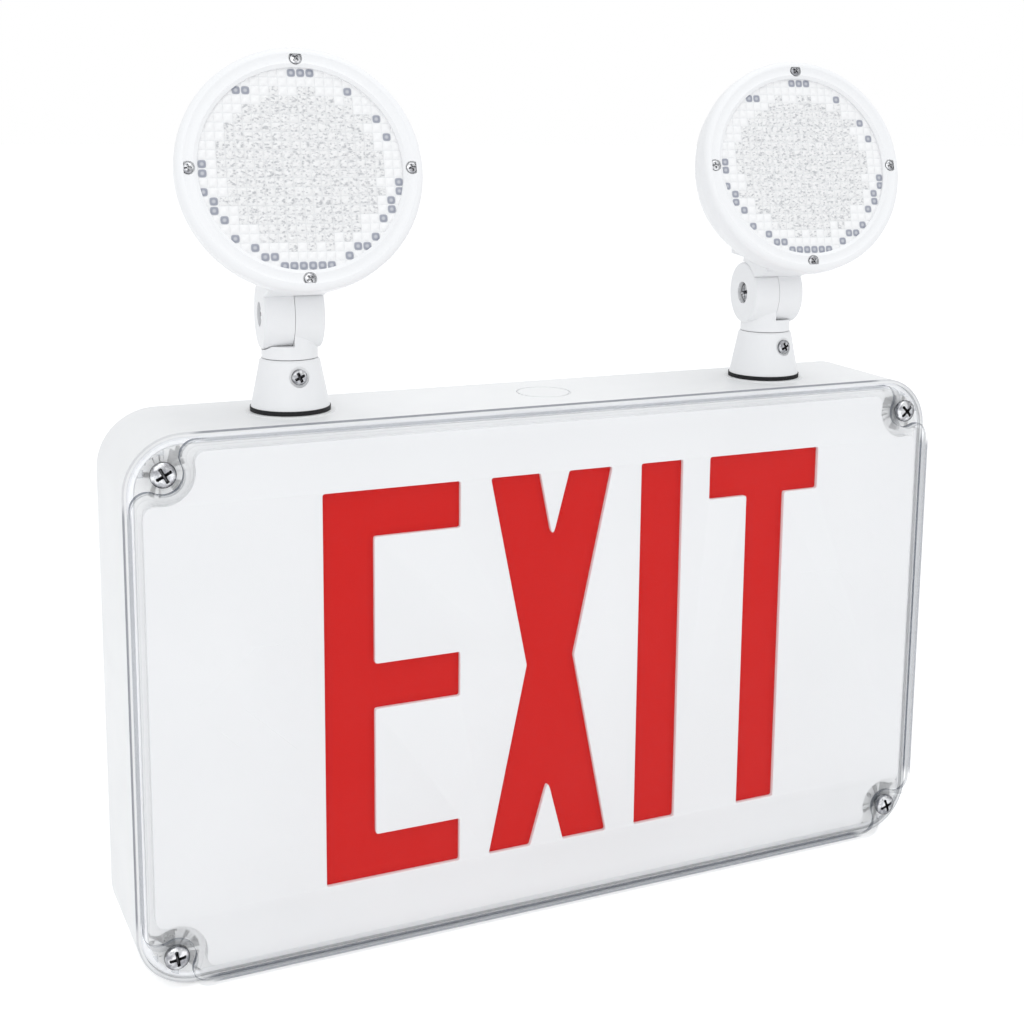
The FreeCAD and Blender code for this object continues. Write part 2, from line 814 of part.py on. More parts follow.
def make_neck(place, side):
    """Neck that turns in the cone, with the knuckle cheek on the sign's inner side."""
    inner = -SIDES[side]
    drop = pivot_height - cone_top
    shoulder = drop - turn_gap
    spigot = rod(spigot_radius, V(0, 0, -drop - spigot_length + turn_gap), Z_AXIS, spigot_length)
    collar = rod(neck_radius, V(0, 0, -shoulder), Z_AXIS, shoulder)
    other = block(V(-20, -20, -shoulder), V(cheek_gap / 2, 20, 20))
    if inner < 0:
        other = other.mirror(V(), X_AXIS)
    saddle = rod(cheek_radius + saddle_gap, V(-20, 0, 0), X_AXIS, 40)
    above = block(V(-20, -20, -shoulder_drop), V(20, 20, 20))
    collar = collar.cut(saddle.fuse(above).common(other))
    bore = rod(wire_bore, V(0, 0, -40), Z_AXIS, 40 - cheek_radius)
    solid = fused(spigot, [collar, cheek(inner, cheek_radius)])
    keep = block(V(-20, -20, -40), V(20, 20, 0)).fuse(rod(cheek_radius, V(-20, 0, 0), X_AXIS, 40))
    solid = solid.common(keep)
    solid = solid.cut([bore] + knuckle_cuts()).removeSplitter()
    solid.translate(pivot_point(place))
    return solid


def pivot_floors(side):
    """Distances from the middle of the knuckle to the screw's head and to the nut.

    Each is tight on the lamp's own cheek and clears the neck's cheek, which it turns against.
    """
    floor = cheek_gap / 2 + cheek_width - pivot_recess_depth
    if SIDES[side] < 0:
        return floor, floor + pivot_end_gap
    return floor + pivot_end_gap, floor


def make_pivot_screw(place, side):
    """Screw through the knuckle, with its head in the recess on the -X side."""
    head_floor, nut_floor = pivot_floors(side)
    length = head_floor + nut_floor + pivot_nut_height
    screw = pan_screw(pivot_radius, pivot_head_radius, pivot_head_height, length)
    return set_along(screw, pivot_point(place) + V(-head_floor, 0, 0), -X_AXIS)


def make_pivot_nut(place, side):
    base = pivot_point(place) + V(pivot_floors(side)[1], 0, 0)
    nut = hexagon(pivot_nut_across, pivot_nut_height, base, X_AXIS)
    return nut.cut(rod(pivot_radius + 0.01, base, X_AXIS, pivot_nut_height))


def on_lamp(solid, place):
    """Carries a solid from the lamp's own frame to its place on the tilted head.

    In the lamp's own frame the origin is the middle of the bezel's front, and +Z points back.
    """
    placed = solid.copy()
    placed.rotate(V(), X_AXIS, 90)
    placed = placed.mirror(V(), Y_AXIS)
    placed.translate(V(0, -lamp_forward, lamp_rise))
    return tilted(placed, place)


def tilted(solid, place):
    solid.rotate(V(), X_AXIS, -rest_tilt)
    solid.translate(pivot_point(place))
    return solid


def turned(profile):
    return Part.Face(Part.Wire(profile)).revolve(V(), Z_AXIS, 360)


def polyline(points):
    return [Part.LineSegment(a, b).toShape() for a, b in zip(points, points[1:])]


def closed_shell(inset):
    """Solid of revolution for the lamp's bowl, or for its inside when inset is the wall.

    Each row of the side is moved in by inset, square to the surface there. One arc runs down
    the side and a tighter one turns it into the flat back.
    """
    front = bezel_skirt + 0.2
    points = []
    for depth, radius, lean in shell_rows:
        turn = math.radians(lean)
        points.append(V(radius - inset * math.cos(turn), 0, depth - inset * math.sin(turn)))
    waist, middle, shoulder, bend, back = points
    edges = polyline([V(0, 0, back.z), V(0, 0, front), V(shell_radius - inset, 0, front), waist])
    edges += [arc(waist, middle, shoulder), arc(shoulder, bend, back)]
    return turned(edges + polyline([back, V(0, 0, back.z)]))


def bezel_places(depth):
    return [V(bezel_screw_circle * math.cos(a), bezel_screw_circle * math.sin(a), depth)
            for a in (0, math.pi / 2, math.pi, 3 * math.pi / 2)]


def lamp_foot(outer):
    """Foot of the lamp shell and its cheek, in the untilted frame of the pivot.

    The foot is as wide as the knuckle. It joins the underside of the bowl, stops above the
    neck's cheek with an even gap, and carries the lamp's own cheek on the outer side.
    """
    def at(forward, up):
        return V(0, -forward, up)

    outline = [at(*foot_heel), at(*foot_notch), at(*foot_back), at(*foot_front), at(*foot_toe),
               at(foot_toe[0], foot_top), at(foot_heel[0] + 1.5, foot_top), at(*foot_heel)]
    half = cheek_gap / 2 + cheek_width
    foot = Part.Face(Part.makePolygon(outline)).extrude(V(2 * half, 0, 0))
    foot.translate(V(-half, 0, 0))
    inner_space = rod(cheek_radius + saddle_gap, V(-half - 1, 0, 0), X_AXIS,
                      half + 1 + cheek_gap / 2)
    if outer < 0:
        inner_space = inner_space.mirror(V(), X_AXIS)
    return fused(cheek(outer, cheek_radius), [foot.cut(inner_space)])


def make_lamp_shell(place, side):
    """Cup with a ledge for the lens gasket, four screw posts and the foot with its cheek."""
    cup = on_lamp(closed_shell(0), V())
    cup.translate(-pivot_point(V()))
    cup.rotate(V(), X_AXIS, rest_tilt)
    solid = fused(cup, [lamp_foot(SIDES[side])])
    solid = tilted(solid, place)
    hollow = on_lamp(closed_shell(shell_wall), place)
    inner = lens_radius - lens_gasket_width
    ring = polyline([V(inner, 0, ledge_front), V(bezel_radius - bezel_skirt_wall - lens_gap, 0,
                                                 ledge_front),
                     V(bezel_radius - bezel_skirt_wall - lens_gap, 0, bezel_skirt + 1.2),
                     V(inner, 0, ledge_front + ledge_thickness + 0.8), V(inner, 0, ledge_front)])
    ledge = on_lamp(turned(ring), place)
    solid = solid.cut(hollow)
    posts = [on_lamp(rod(bezel_post_radius, p, Z_AXIS, bezel_screw_length - 2), place)
             for p in bezel_places(ledge_front)]
    inside = on_lamp(rod(bezel_radius - bezel_skirt_wall - lens_gap, V(0, 0, ledge_front), Z_AXIS,
                         shell_rows[0][0] - ledge_front), place)
    solid = fused(solid, [ledge] + [post.common(inside) for post in posts])
    pilots = [on_lamp(rod(bezel_screw_radius, p, Z_AXIS, bezel_screw_length - 3), place)
              for p in bezel_places(ledge_front - 1)]
    cuts = knuckle_cuts()
    for cut in cuts:
        cut.translate(pivot_point(place))
    return solid.cut(pilots + cuts).removeSplitter()


def make_lamp_bezel(place):
    """Front ring that holds the lens, with a shallow dish across its face."""
    outer = bezel_radius
    skirt = bezel_radius - bezel_skirt_wall
    rise = bezel_round
    edge = V(outer - rise, 0, 0)
    inner = V(lens_radius + lens_gap, 0, 0.1)
    middle = V((edge.x + inner.x) / 2, 0, bezel_dish)
    corner = V(outer - rise * (1 - math.sqrt(0.5)), 0, rise * (1 - math.sqrt(0.5)))
    profile = [arc(inner, middle, edge), arc(edge, corner, V(outer, 0, rise))]
    profile += polyline([V(outer, 0, rise), V(outer, 0, bezel_skirt), V(skirt, 0, bezel_skirt),
                         V(skirt, 0, ledge_front), V(lens_radius + lens_gap, 0, ledge_front),
                         V(lens_radius + lens_gap, 0, lens_set_back),
                         V(lens_opening, 0, lens_set_back), V(lens_opening, 0, 0.9), inner])
    ring = turned(profile)
    holes = [rod(bezel_screw_radius + 0.2, p, Z_AXIS, 20) for p in bezel_places(-1)]
    seats = [rod(bezel_screw_head + 0.2, p, Z_AXIS, bezel_screw_head_height)
             for p in bezel_places(0.1)]
    return on_lamp(ring.cut(holes + seats), place)


def make_lamp_lens(place):
    return on_lamp(rod(lens_radius, V(0, 0, lens_set_back), Z_AXIS, lens_thickness), place)


def make_lens_gasket(place):
    ring = rod(lens_radius, V(0, 0, lens_back), Z_AXIS, lens_gasket_height)
    ring = ring.cut(rod(lens_radius - lens_gasket_width, V(0, 0, lens_back), Z_AXIS, 3))
    return on_lamp(ring, place)


def make_reflector(place):
    """Bowl that narrows from the lens to the light source, with an even wall."""
    mouth = lens_radius - lens_gasket_width - 0.4
    front = lens_back + 0.3
    back = front + reflector_depth
    bow = 0.68
    middle = (reflector_throat + mouth) / 2 + 4.0
    reach = front + reflector_depth * (1 - bow) + 3.0
    outer = arc(V(mouth, 0, front), V(middle, 0, reach + 5.0), V(reflector_throat, 0, back))
    inner = arc(V(mouth - reflector_wall, 0, front),
                V(middle - reflector_wall, 0, reach + 5.0 - reflector_wall * 0.5),
                V(reflector_throat - reflector_wall, 0, back))
    profile = [outer, Part.LineSegment(V(reflector_throat, 0, back),
                                       V(reflector_throat - reflector_wall, 0, back)).toShape(),
               inner, Part.LineSegment(V(mouth - reflector_wall, 0, front),
                                       V(mouth, 0, front)).toShape()]
    return on_lamp(turned(profile), place)


def make_lamp_board(place):
    """Round circuit board behind the reflector, with a ring of light sources and one within."""
    base = lens_back + 0.3 + reflector_depth
    board = rod(lamp_board_radius, V(0, 0, base), Z_AXIS, lamp_board_thickness)
    spots = [V(0, 0, base - 1.0)]
    for number in range(6):
        turn = math.radians(60 * number)
        spots.append(V(lamp_led_circle * math.cos(turn), lamp_led_circle * math.sin(turn),
                       base - 1.0))
    leds = [rod(lamp_led_radius, spot, Z_AXIS, 1.5) for spot in spots]
    post = rod(4.0, V(0, 0, base + lamp_board_thickness - 0.5), Z_AXIS,
               shell_depth - shell_wall - base - lamp_board_thickness + 0.5)
    return on_lamp(fused(board, leds + [post]), place)


def make_bezel_screws(place):
    screw = pan_screw(bezel_screw_radius, bezel_screw_head, bezel_screw_head_height,
                      bezel_screw_length - 4)
    seat = 0.1 + bezel_screw_head_height
    return Part.makeCompound([on_lamp(set_along(screw, p, -Z_AXIS), place)
                              for p in bezel_places(seat)])


def turning_nodes(place, side):
    """The neck and everything it carries, aimed straight ahead."""
    return {
        "neck": make_neck(place, side),
        "pivot_screw": make_pivot_screw(place, side),
        "pivot_nut": make_pivot_nut(place, side),
        "lamp_shell": make_lamp_shell(place, side),
        "lamp_bezel": make_lamp_bezel(place),
        "lamp_lens": make_lamp_lens(place),
        "lens_gasket": make_lens_gasket(place),
        "reflector": make_reflector(place),
        "lamp_board": make_lamp_board(place),
        "bezel_screws": make_bezel_screws(place),
    }


def all_nodes():
    nodes = {
        "back_housing": make_back_housing(),
        "housing_gasket": make_housing_gasket(),
        "clear_cover": make_clear_cover(),
        "cover_screws": make_cover_screws(),
        "face_panel": make_face_panel(),
        "red_diffuser": make_red_diffuser(),
        "light_box": make_light_box(),
        "upper_led_strip": make_led_strip(1),
        "lower_led_strip": make_led_strip(-1),
        "battery_pack": make_battery_pack(),
        "battery_strap": make_battery_strap(),
        "charger_board": make_charger_board(),
        "transformer": make_transformer(),
        "terminal_block": make_terminal_block(),
        "test_button": make_test_button(),
        "test_switch": make_test_switch(),
        "status_lamp": make_status_lamp(),
    }
    for side, place in lamp_places().items():
        nodes[side + "_base_gasket"] = make_base_gasket(place)
        nodes[side + "_base_cone"] = make_base_cone(place, side)
        nodes[side + "_set_screw"] = make_set_screw(place, side)
        nodes[side + "_lock_nut"] = make_lock_nut(place)
        for name, shape in turning_nodes(place, side).items():
            shape.rotate(place, Z_AXIS, rest_turns[side])
            nodes[side + "_" + name] = shape
    return nodes


os.makedirs("parts", exist_ok=True)
for name, shape in all_nodes().items():
    shape.exportStep("parts/" + name + ".step")
    print(name, "solids", len(shape.Solids), "valid", shape.isValid(),
          "volume", round(shape.Volume, 1))
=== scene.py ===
import json
import math

import bmesh
import bpy
import numpy as np
from mathutils import Matrix, Vector


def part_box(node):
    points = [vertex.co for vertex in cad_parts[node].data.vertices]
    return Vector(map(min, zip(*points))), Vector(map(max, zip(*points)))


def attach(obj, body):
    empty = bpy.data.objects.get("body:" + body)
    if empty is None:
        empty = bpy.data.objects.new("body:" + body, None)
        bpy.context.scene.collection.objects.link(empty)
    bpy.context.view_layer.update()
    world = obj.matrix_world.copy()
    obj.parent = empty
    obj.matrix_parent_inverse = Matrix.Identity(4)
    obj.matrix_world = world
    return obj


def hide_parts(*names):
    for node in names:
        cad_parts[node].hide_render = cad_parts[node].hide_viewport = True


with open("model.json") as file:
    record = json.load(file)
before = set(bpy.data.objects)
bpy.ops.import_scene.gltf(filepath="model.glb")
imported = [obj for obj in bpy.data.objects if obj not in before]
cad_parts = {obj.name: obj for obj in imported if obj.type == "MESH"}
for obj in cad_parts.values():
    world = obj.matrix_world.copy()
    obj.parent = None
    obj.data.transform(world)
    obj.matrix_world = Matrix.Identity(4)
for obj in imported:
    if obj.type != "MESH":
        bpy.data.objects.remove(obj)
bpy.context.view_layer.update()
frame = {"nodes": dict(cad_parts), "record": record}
nodes = frame["nodes"]

MM = 0.001


# Camera, floor and light

def make_camera():
    """Camera at the sign's left and a little above it, with a shift that frames the sign."""
    data = bpy.data.cameras.new("camera")
    data.lens = 54.522
    data.sensor_width = 36.0
    data.shift_x = -0.028827
    data.shift_y = -0.138672
    data.clip_start, data.clip_end = 0.01, 50.0
    camera = bpy.data.objects.new("camera", data)
    bpy.context.scene.collection.objects.link(camera)
    right = Vector((0.906538, -0.421955, 0.011975))
    up = Vector((0.059169, 0.155105, 0.986124))
    turn = Matrix((right, up, right.cross(up))).transposed()
    camera.matrix_world = Matrix.Translation((-0.26048, -0.57874, 0.21536)) @ turn.to_4x4()
    bpy.context.scene.camera = camera


def area_light(name, place, power):
    """A softbox, in metres and watts, that points at the middle of the sign."""
    middle = (0, 0, 0.05)
    data = bpy.data.lights.new(name, "AREA")
    data.shape = "RECTANGLE"
    data.size, data.size_y = 2.0, 1.6
    data.energy = power
    lamp = bpy.data.objects.new(name, data)
    bpy.context.scene.collection.objects.link(lamp)
    lamp.location = place
    lamp.rotation_mode = "QUATERNION"
    lamp.rotation_quaternion = (Vector(middle) - Vector(place)).to_track_quat("-Z", "Y")


def direct_view(tree, strength):
    """Strength where the floor or the surround is seen directly, in a mirror or through glass."""
    path = tree.nodes.new("ShaderNodeLightPath")
    seen = path.outputs["Is Camera Ray"]
    for ray in ("Is Transmission Ray", "Is Glossy Ray"):
        either = tree.nodes.new("ShaderNodeMath")
        either.operation = "MAXIMUM"
        tree.links.new(seen, either.inputs[0])
        tree.links.new(path.outputs[ray], either.inputs[1])
        seen = either.outputs[0]
    level = tree.nodes.new("ShaderNodeMath")
    level.operation = "MULTIPLY"
    level.inputs[1].default_value = strength
    tree.links.new(seen, level.inputs[0])
    return level.outputs[0]


def make_world():
    """Soft light from all round, and a white surround where it's seen directly or reflected."""
    world = bpy.data.worlds.new("studio")
    bpy.context.scene.world = world
    world.use_nodes = True
    tree = world.node_tree
    tree.nodes.clear()
    soft = tree.nodes.new("ShaderNodeBackground")
    soft.inputs["Color"].default_value = (0.97, 0.985, 1.0, 1.0)
    soft.inputs["Strength"].default_value = 0.84
    white = tree.nodes.new("ShaderNodeBackground")
    white.inputs["Color"].default_value = (1.0, 1.0, 1.0, 1.0)
    white.inputs["Strength"].default_value = 1.0
    mix = tree.nodes.new("ShaderNodeMixShader")
    tree.links.new(direct_view(tree, 1.0), mix.inputs[0])
    tree.links.new(soft.outputs[0], mix.inputs[1])
    tree.links.new(white.outputs[0], mix.inputs[2])
    out = tree.nodes.new("ShaderNodeOutputWorld")
    tree.links.new(mix.outputs[0], out.inputs["Surface"])


def make_floor():
    """Pale floor under the sign, as a plain square that looks white but keeps a soft shadow."""
    reach, level = 12.0, -0.1045
    mesh = bpy.data.meshes.new("floor")
    corners = [(-reach, -reach, level), (reach, -reach, level),
               (reach, reach, level), (-reach, reach, level)]
    mesh.from_pydata(corners, [], [(0, 1, 2, 3)])
    floor = bpy.data.objects.new("floor", mesh)
    bpy.context.scene.collection.objects.link(floor)
    paint = bpy.data.materials.new("pale_floor")
    paint.use_nodes = True
    tree = paint.node_tree
    shader = tree.nodes["Principled BSDF"]
    shader.inputs["Base Color"].default_value = (0.95, 0.95, 0.95, 1.0)
    shader.inputs["Roughness"].default_value = 0.9
    shader.inputs["Specular IOR Level"].default_value = 0.1
    shader.inputs["Emission Color"].default_value = (1.0, 1.0, 1.0, 1.0)
    tree.links.new(direct_view(tree, 0.35), shader.inputs["Emission Strength"])
    mesh.materials.append(paint)


# Materials

def grey(level):
    """A colour with the same level of red, green and blue."""
    return (level,) * 3


def scaled(colour, factor):
    """The colour made lighter or darker by a factor, and at most 1 in each of its three."""
    return tuple(min(1.0, c * factor) for c in colour)


class Finish:
    """A material with one Principled shader and short ways to feed it.

    The values that its methods take are numbers, tuples or the outputs of other nodes.
    """

    def __init__(self, name, colour, roughness, metallic=0.0):
        self.material = bpy.data.materials.new(name)
        self.material.use_nodes = True
        self.tree = self.material.node_tree
        self.shader = self.tree.nodes["Principled BSDF"]
        self.shader.inputs["Base Color"].default_value = (*colour, 1.0)
        self.shader.inputs["Roughness"].default_value = roughness
        self.shader.inputs["Metallic"].default_value = metallic
        self.place = self.tree.nodes.new("ShaderNodeTexCoord").outputs["Object"]

    def node(self, kind, **settings):
        made = self.tree.nodes.new(kind)
        for key, value in settings.items():
            setattr(made, key, value)
        return made

    def link(self, output, socket):
        self.tree.links.new(output, socket)

    def feed(self, value, socket):
        """Links an output to a socket, or sets the socket to a number or a tuple."""
        if isinstance(value, bpy.types.NodeSocket):
            self.link(value, socket)
        else:
            socket.default_value = value

    def number(self, operation, *values):
        """The result of a Math node."""
        made = self.node("ShaderNodeMath", operation=operation)
        for value, socket in zip(values, made.inputs):
            self.feed(value, socket)
        return made.outputs[0]

    def vector(self, operation, *values):
        """The result of a Vector Math node, which is a number for a length or a dot product."""
        made = self.node("ShaderNodeVectorMath", operation=operation)
        for value, socket in zip(values, made.inputs):
            self.feed(value, socket)
        return made.outputs["Value" if operation in ("LENGTH", "DOT_PRODUCT") else "Vector"]

    def axes(self, vector):
        """The x, y and z of a vector."""
        split = self.node("ShaderNodeSeparateXYZ")
        self.link(vector, split.inputs[0])
        return [split.outputs[axis] for axis in "XYZ"]

    def mark(self, name, output):
        """What make_piece has stored under that name at each point."""
        return self.node("ShaderNodeAttribute", attribute_name=name).outputs[output]

    def noise(self, scale, detail=3.0, stretch=None):
        """Noise on the piece's own coordinates, with scale in cycles a metre."""
        noise = self.node("ShaderNodeTexNoise")
        noise.inputs["Scale"].default_value = scale
        noise.inputs["Detail"].default_value = detail
        place = self.place
        if stretch is not None:
            mapping = self.node("ShaderNodeMapping")
            mapping.inputs["Scale"].default_value = stretch
            self.link(self.place, mapping.inputs["Vector"])
            place = mapping.outputs["Vector"]
        self.link(place, noise.inputs["Vector"])
        return noise.outputs["Fac"]

    def edge_on(self):
        """0 where the surface is seen face on and 1 where it's seen edge on."""
        weight = self.node("ShaderNodeLayerWeight")
        weight.inputs["Blend"].default_value = 0.5
        return weight.outputs["Facing"]

    def mapped(self, value, start, end, low=0.0, high=1.0, **settings):
        """A number that runs from low to high as value runs from start to end."""
        spread = self.node("ShaderNodeMapRange", **settings)
        spread.inputs["From Min"].default_value = start
        spread.inputs["From Max"].default_value = end
        spread.inputs["To Min"].default_value = low
        spread.inputs["To Max"].default_value = high
        self.link(value, spread.inputs["Value"])
        return spread.outputs["Result"]

    def between(self, factor, low, high):
        """A number that runs from low to high as factor runs over the noise's usual range."""
        return self.mapped(factor, 0.3, 0.7, low, high)

    def span(self, value, start, end):
        """0 where the size of value is under start and 1 where it's over end."""
        return self.mapped(self.number("ABSOLUTE", value), start, end,
                           interpolation_type="SMOOTHSTEP")

    def product(self, first, second):
        """Two numbers multiplied."""
        return self.number("MULTIPLY", first, second)

    def in_corner(self, from_x, from_z, fade):
        """0 in the middle and 1 in the four corners, beyond those sizes of x and z, in metres."""
        across, _, height = self.axes(self.place)
        return self.product(self.span(across, from_x, from_x + fade),
                            self.span(height, from_z, from_z + fade))

    def tones(self, factor, stops):
        """Colour along a ramp of (place, colour) stops."""
        ramp = self.node("ShaderNodeValToRGB")
        elements = ramp.color_ramp.elements
        while len(elements) < len(stops):
            elements.new(0.5)
        for element, (place, colour) in zip(elements, stops):
            element.position = place
            element.color = (*colour, 1.0)
        self.link(factor, ramp.inputs["Fac"])
        return ramp.outputs["Color"]

    def depth_ramp(self, depth, stops):
        """A number along a ramp of (millimetres in front of the wall, number) stops."""
        back, front = stops[0][0], stops[-1][0]
        share = self.mapped(depth, -back * MM, -front * MM)
        return self.tones(share, [((place - back) / (front - back), grey(value))
                                  for place, value in stops])

    def blend(self, factor, low, high, colours=False, kind="MIX"):
        """low where factor is 0 and high where it's 1, or their product if kind is MULTIPLY."""
        mix = self.node("ShaderNodeMix", data_type="RGBA" if colours else "FLOAT", blend_type=kind)
        sockets = {socket.name: socket for socket in mix.inputs if socket.enabled}
        for name, value in (("Factor", factor), ("A", low), ("B", high)):
            self.feed((*value, 1.0) if isinstance(value, tuple) else value, sockets[name])
        return next(socket for socket in mix.outputs if socket.enabled)

    def mixed(self, share, first, second):
        """The first shader where share is 0 and the second where it's 1."""
        mix = self.node("ShaderNodeMixShader")
        for output, socket in zip((share, first, second), mix.inputs):
            self.link(output, socket)
        return mix.outputs[0]

    def relief(self, height, depth):
        """The normal of a surface with relief of the given depth in metres."""
        bump = self.node("ShaderNodeBump")
        bump.inputs["Distance"].default_value = depth
        self.link(height, bump.inputs["Height"])
        return bump.outputs["Normal"]

    def bump(self, height, depth):
        self.link(self.relief(height, depth), self.shader.inputs["Normal"])

    def colour(self, output):
        self.link(output, self.shader.inputs["Base Color"])

    def roughness(self, output):
        self.link(output, self.shader.inputs["Roughness"])

    def surface(self, output):
        """Makes a shader other than the Principled one the material's surface."""
        self.link(output, self.tree.nodes["Material Output"].inputs["Surface"])

    def set(self, **sockets):
        for name, value in sockets.items():
            self.shader.inputs[name.replace("_", " ")].default_value = value


def moulded(name, colour, roughness, grain=2600.0, depth=0.00003, drift=0.02):
    """Moulded plastic: a fine pebble grain, slow drift in tone and an uneven sheen."""
    finish = Finish(name, colour, roughness)
    finish.colour(finish.tones(finish.noise(14.0, 2.0), [(0.3, scaled(colour, 1.0 - drift)),
                                                         (0.7, scaled(colour, 1.0 + drift * 0.4))]))
    finish.roughness(finish.between(finish.noise(90.0), roughness * 0.85, roughness * 1.15))
    finish.bump(finish.noise(grain, 2.0), depth)
    finish.set(Specular_IOR_Level=0.35)
    return finish


def moulded_housing(name, colour, roughness):
    """Moulded plastic with a thin line of painted shade at its front edge, at the cover's joint.

    The line follows the rounded rectangle of the front edge: how far a point is from the middle
    there is the length of (|x|, |z|) beyond the corner centres, where they are beyond, and the
    line begins where that length comes close to the corners' radius. It is fainter in the corners.
    """
    finish = moulded(name, colour, roughness)
    half_x, half_z, radius, front = 0.1712, 0.1033, 0.0214, 0.0488
    near_side, at_side = 0.0009, 0.0006
    near_front, at_front = 0.0006, 0.0003
    size = finish.vector("ABSOLUTE", finish.place)
    past = finish.vector("SUBTRACT", size, (half_x - radius, 1.0, half_z - radius))
    beyond = finish.vector("LENGTH", finish.vector("MAXIMUM", past, (0.0, 0.0, 0.0)))
    _, depth, _ = finish.axes(finish.place)
    # Painted shade of the joint gap, laid on the housing's colour as a dark line.
    line = finish.product(finish.span(beyond, radius - near_side, radius - at_side),
                          finish.span(depth, front - near_front, front - at_front))
    # The painted joint shade is fainter in the screw corners.
    corner = finish.in_corner(from_x=0.142, from_z=0.074, fade=0.008)
    line = finish.product(line, finish.tones(corner, [(0.0, grey(1.0)), (0.8, grey(0.3))]))
    plain = finish.shader.inputs["Base Color"].links[0].from_socket
    finish.colour(finish.blend(line, plain, (0.33, 0.34, 0.37), colours=True))
    return finish


def rubber(name, colour):
    """Soft rubber: a coarser and deeper grain than the hard plastic's, and more drift in tone."""
    finish = moulded(name, colour, 0.7, grain=1500.0, depth=0.00006, drift=0.12)
    finish.set(Specular_IOR_Level=0.3)
    return finish


def pale_seal(name, colour):
    """White silicone with a faint glow: painted light that lifts it where it lies in shade."""
    finish = rubber(name, colour)
    # Painted light: the seal glows a little though it is no lamp.
    finish.set(Emission_Color=(*colour, 1.0), Emission_Strength=0.22)
    return finish


def turned_metal(name, colour, roughness):
    """Plated metal with fine drawn lines and patches where the plating is duller."""
    finish = Finish(name, colour, roughness, 1.0)
    patches = finish.noise(220.0, 4.0)
    finish.colour(finish.tones(patches, [(0.3, scaled(colour, 0.86)), (0.7, scaled(colour, 1.06))]))
    finish.roughness(finish.between(finish.noise(900.0), roughness * 0.7, roughness * 1.4))
    finish.bump(finish.noise(1400.0, 3.0, (1.0, 1.0, 0.12)), 0.00002)
    return finish


def screw_metal(name, colour):
    """Bright plated metal with painted highlight patches, painted shade in the cross and painted
    shade where it's seen edge on.

    The mark recess holds the painted shade of the cross at a point, from 0 on the rest of the
    screw.
    """
    finish = turned_metal(name, colour, 0.2)
    # Painted shade: the head darkens towards its rims as it's seen edge on.
    rim = finish.tones(finish.edge_on(), [(0.0, colour), (0.3, scaled(colour, 0.8)),
                                          (0.5, scaled(colour, 0.5)),
                                          (0.75, scaled(colour, 0.15))])
    # Painted highlights: noise patches lighter and darker than the plating.
    painted_highlight_patches = finish.tones(finish.noise(380.0, 2.0), [(0.36, (0.4, 0.4, 0.42)),
                                                     (0.5, (0.68, 0.68, 0.69)),
                                                     (0.62, (1.1, 1.1, 1.1))])
    painted_head_light = finish.blend(1.0, rim, painted_highlight_patches, colours=True, kind="MULTIPLY")
    # Painted shade in the cross recess, nearly black.
    finish.colour(finish.blend(finish.mark("recess", "Fac"), painted_head_light, (0.012, 0.012, 0.014),
                               colours=True))
    return finish


def cover_solidity(finish, plain):
    """How solid the cover looks, and how far it faces forwards. plain is for its front.

    Each ramp gives the solidity over the depth, and the grey it lets show is painted shade of the
    clear walls. The outer sides are grey from outside, those at the top and bottom only near the
    front, and in the screw corners they have a painted dark line of shade at the foot of the
    raised part. An outer side seen from within, through the cover, is grey over a band, and an
    inner side near its front edge only. Forward faces are grey in the pockets, also painted shade.
    """
    _, depth, _ = finish.axes(finish.place)
    normal = finish.node("ShaderNodeTexCoord").outputs["Normal"]
    _, facing_y, facing_z = finish.axes(normal)
    forward = finish.span(facing_y, 0.3, 0.8)
    in_corner = finish.in_corner(from_x=0.141, from_z=0.073, fade=0.006)
    flat = finish.vector("MULTIPLY", finish.place, (1.0, 0.0, 1.0))
    outer = finish.number("GREATER_THAN", finish.vector("DOT_PRODUCT", flat, normal), 0.0)
    backfacing = finish.node("ShaderNodeNewGeometry").outputs["Backfacing"]
    from_outside = finish.product(outer, finish.number("SUBTRACT", 1.0, backfacing))
    from_within = finish.number("SUBTRACT", backfacing, outer)

    # The grey that these ramps let show is painted shade of the clear walls.
    left_right = finish.depth_ramp(depth, [(48.0, 0.0), (48.6, 0.42), (50.4, 0.5),
                                           (56.4, 0.52), (57.1, 0.1), (58.2, 0.02)])
    top_bottom = finish.depth_ramp(depth, [(48.0, 0.0), (48.6, 0.08), (51.6, 0.1), (52.6, 0.46),
                                           (56.9, 0.52), (57.4, 0.25), (58.2, 0.05)])
    # In the corners, a painted dark line of shade at the foot of the raised part.
    corner = finish.depth_ramp(depth, [(48.0, 0.0), (48.5, 0.2), (49.3, 0.2), (49.8, 0.05),
                                       (51.6, 0.1), (51.8, 0.85), (53.9, 0.75), (54.7, 0.26),
                                       (56.4, 0.34), (57.0, 0.05), (58.2, 0.02)])
    inner = finish.depth_ramp(depth, [(48.0, 0.0), (49.0, 0.02), (54.6, 0.04), (55.9, 0.12),
                                      (57.6, 0.1)])
    within = finish.depth_ramp(depth, [(48.0, 0.0), (49.2, 0.12), (49.7, 0.72), (51.0, 0.55),
                                       (53.2, 0.58), (54.4, 0.74), (55.1, 0.14), (58.2, 0.04)])
    within_corner = finish.depth_ramp(depth, [(48.0, 0.0), (48.6, 0.3), (49.3, 0.05),
                                              (51.6, 0.06), (51.9, 0.5), (53.0, 0.4),
                                              (53.8, 0.08), (56.6, 0.16), (58.2, 0.1)])
    # Painted shade in the corner pockets.
    pockets = finish.depth_ramp(depth, [(50.2, 0.0), (50.45, 0.3), (50.75, 0.3), (51.0, 0.0)])

    outside = finish.blend(finish.span(facing_z, 0.3, 0.8), left_right, top_bottom)
    outside = finish.blend(in_corner, outside, corner)
    inside = finish.blend(from_within, inner, finish.blend(in_corner, within, within_corner))
    sides = finish.blend(from_outside, inside, outside)
    ahead = finish.number("MAXIMUM", plain, pockets)
    return finish.blend(forward, sides, ahead), forward


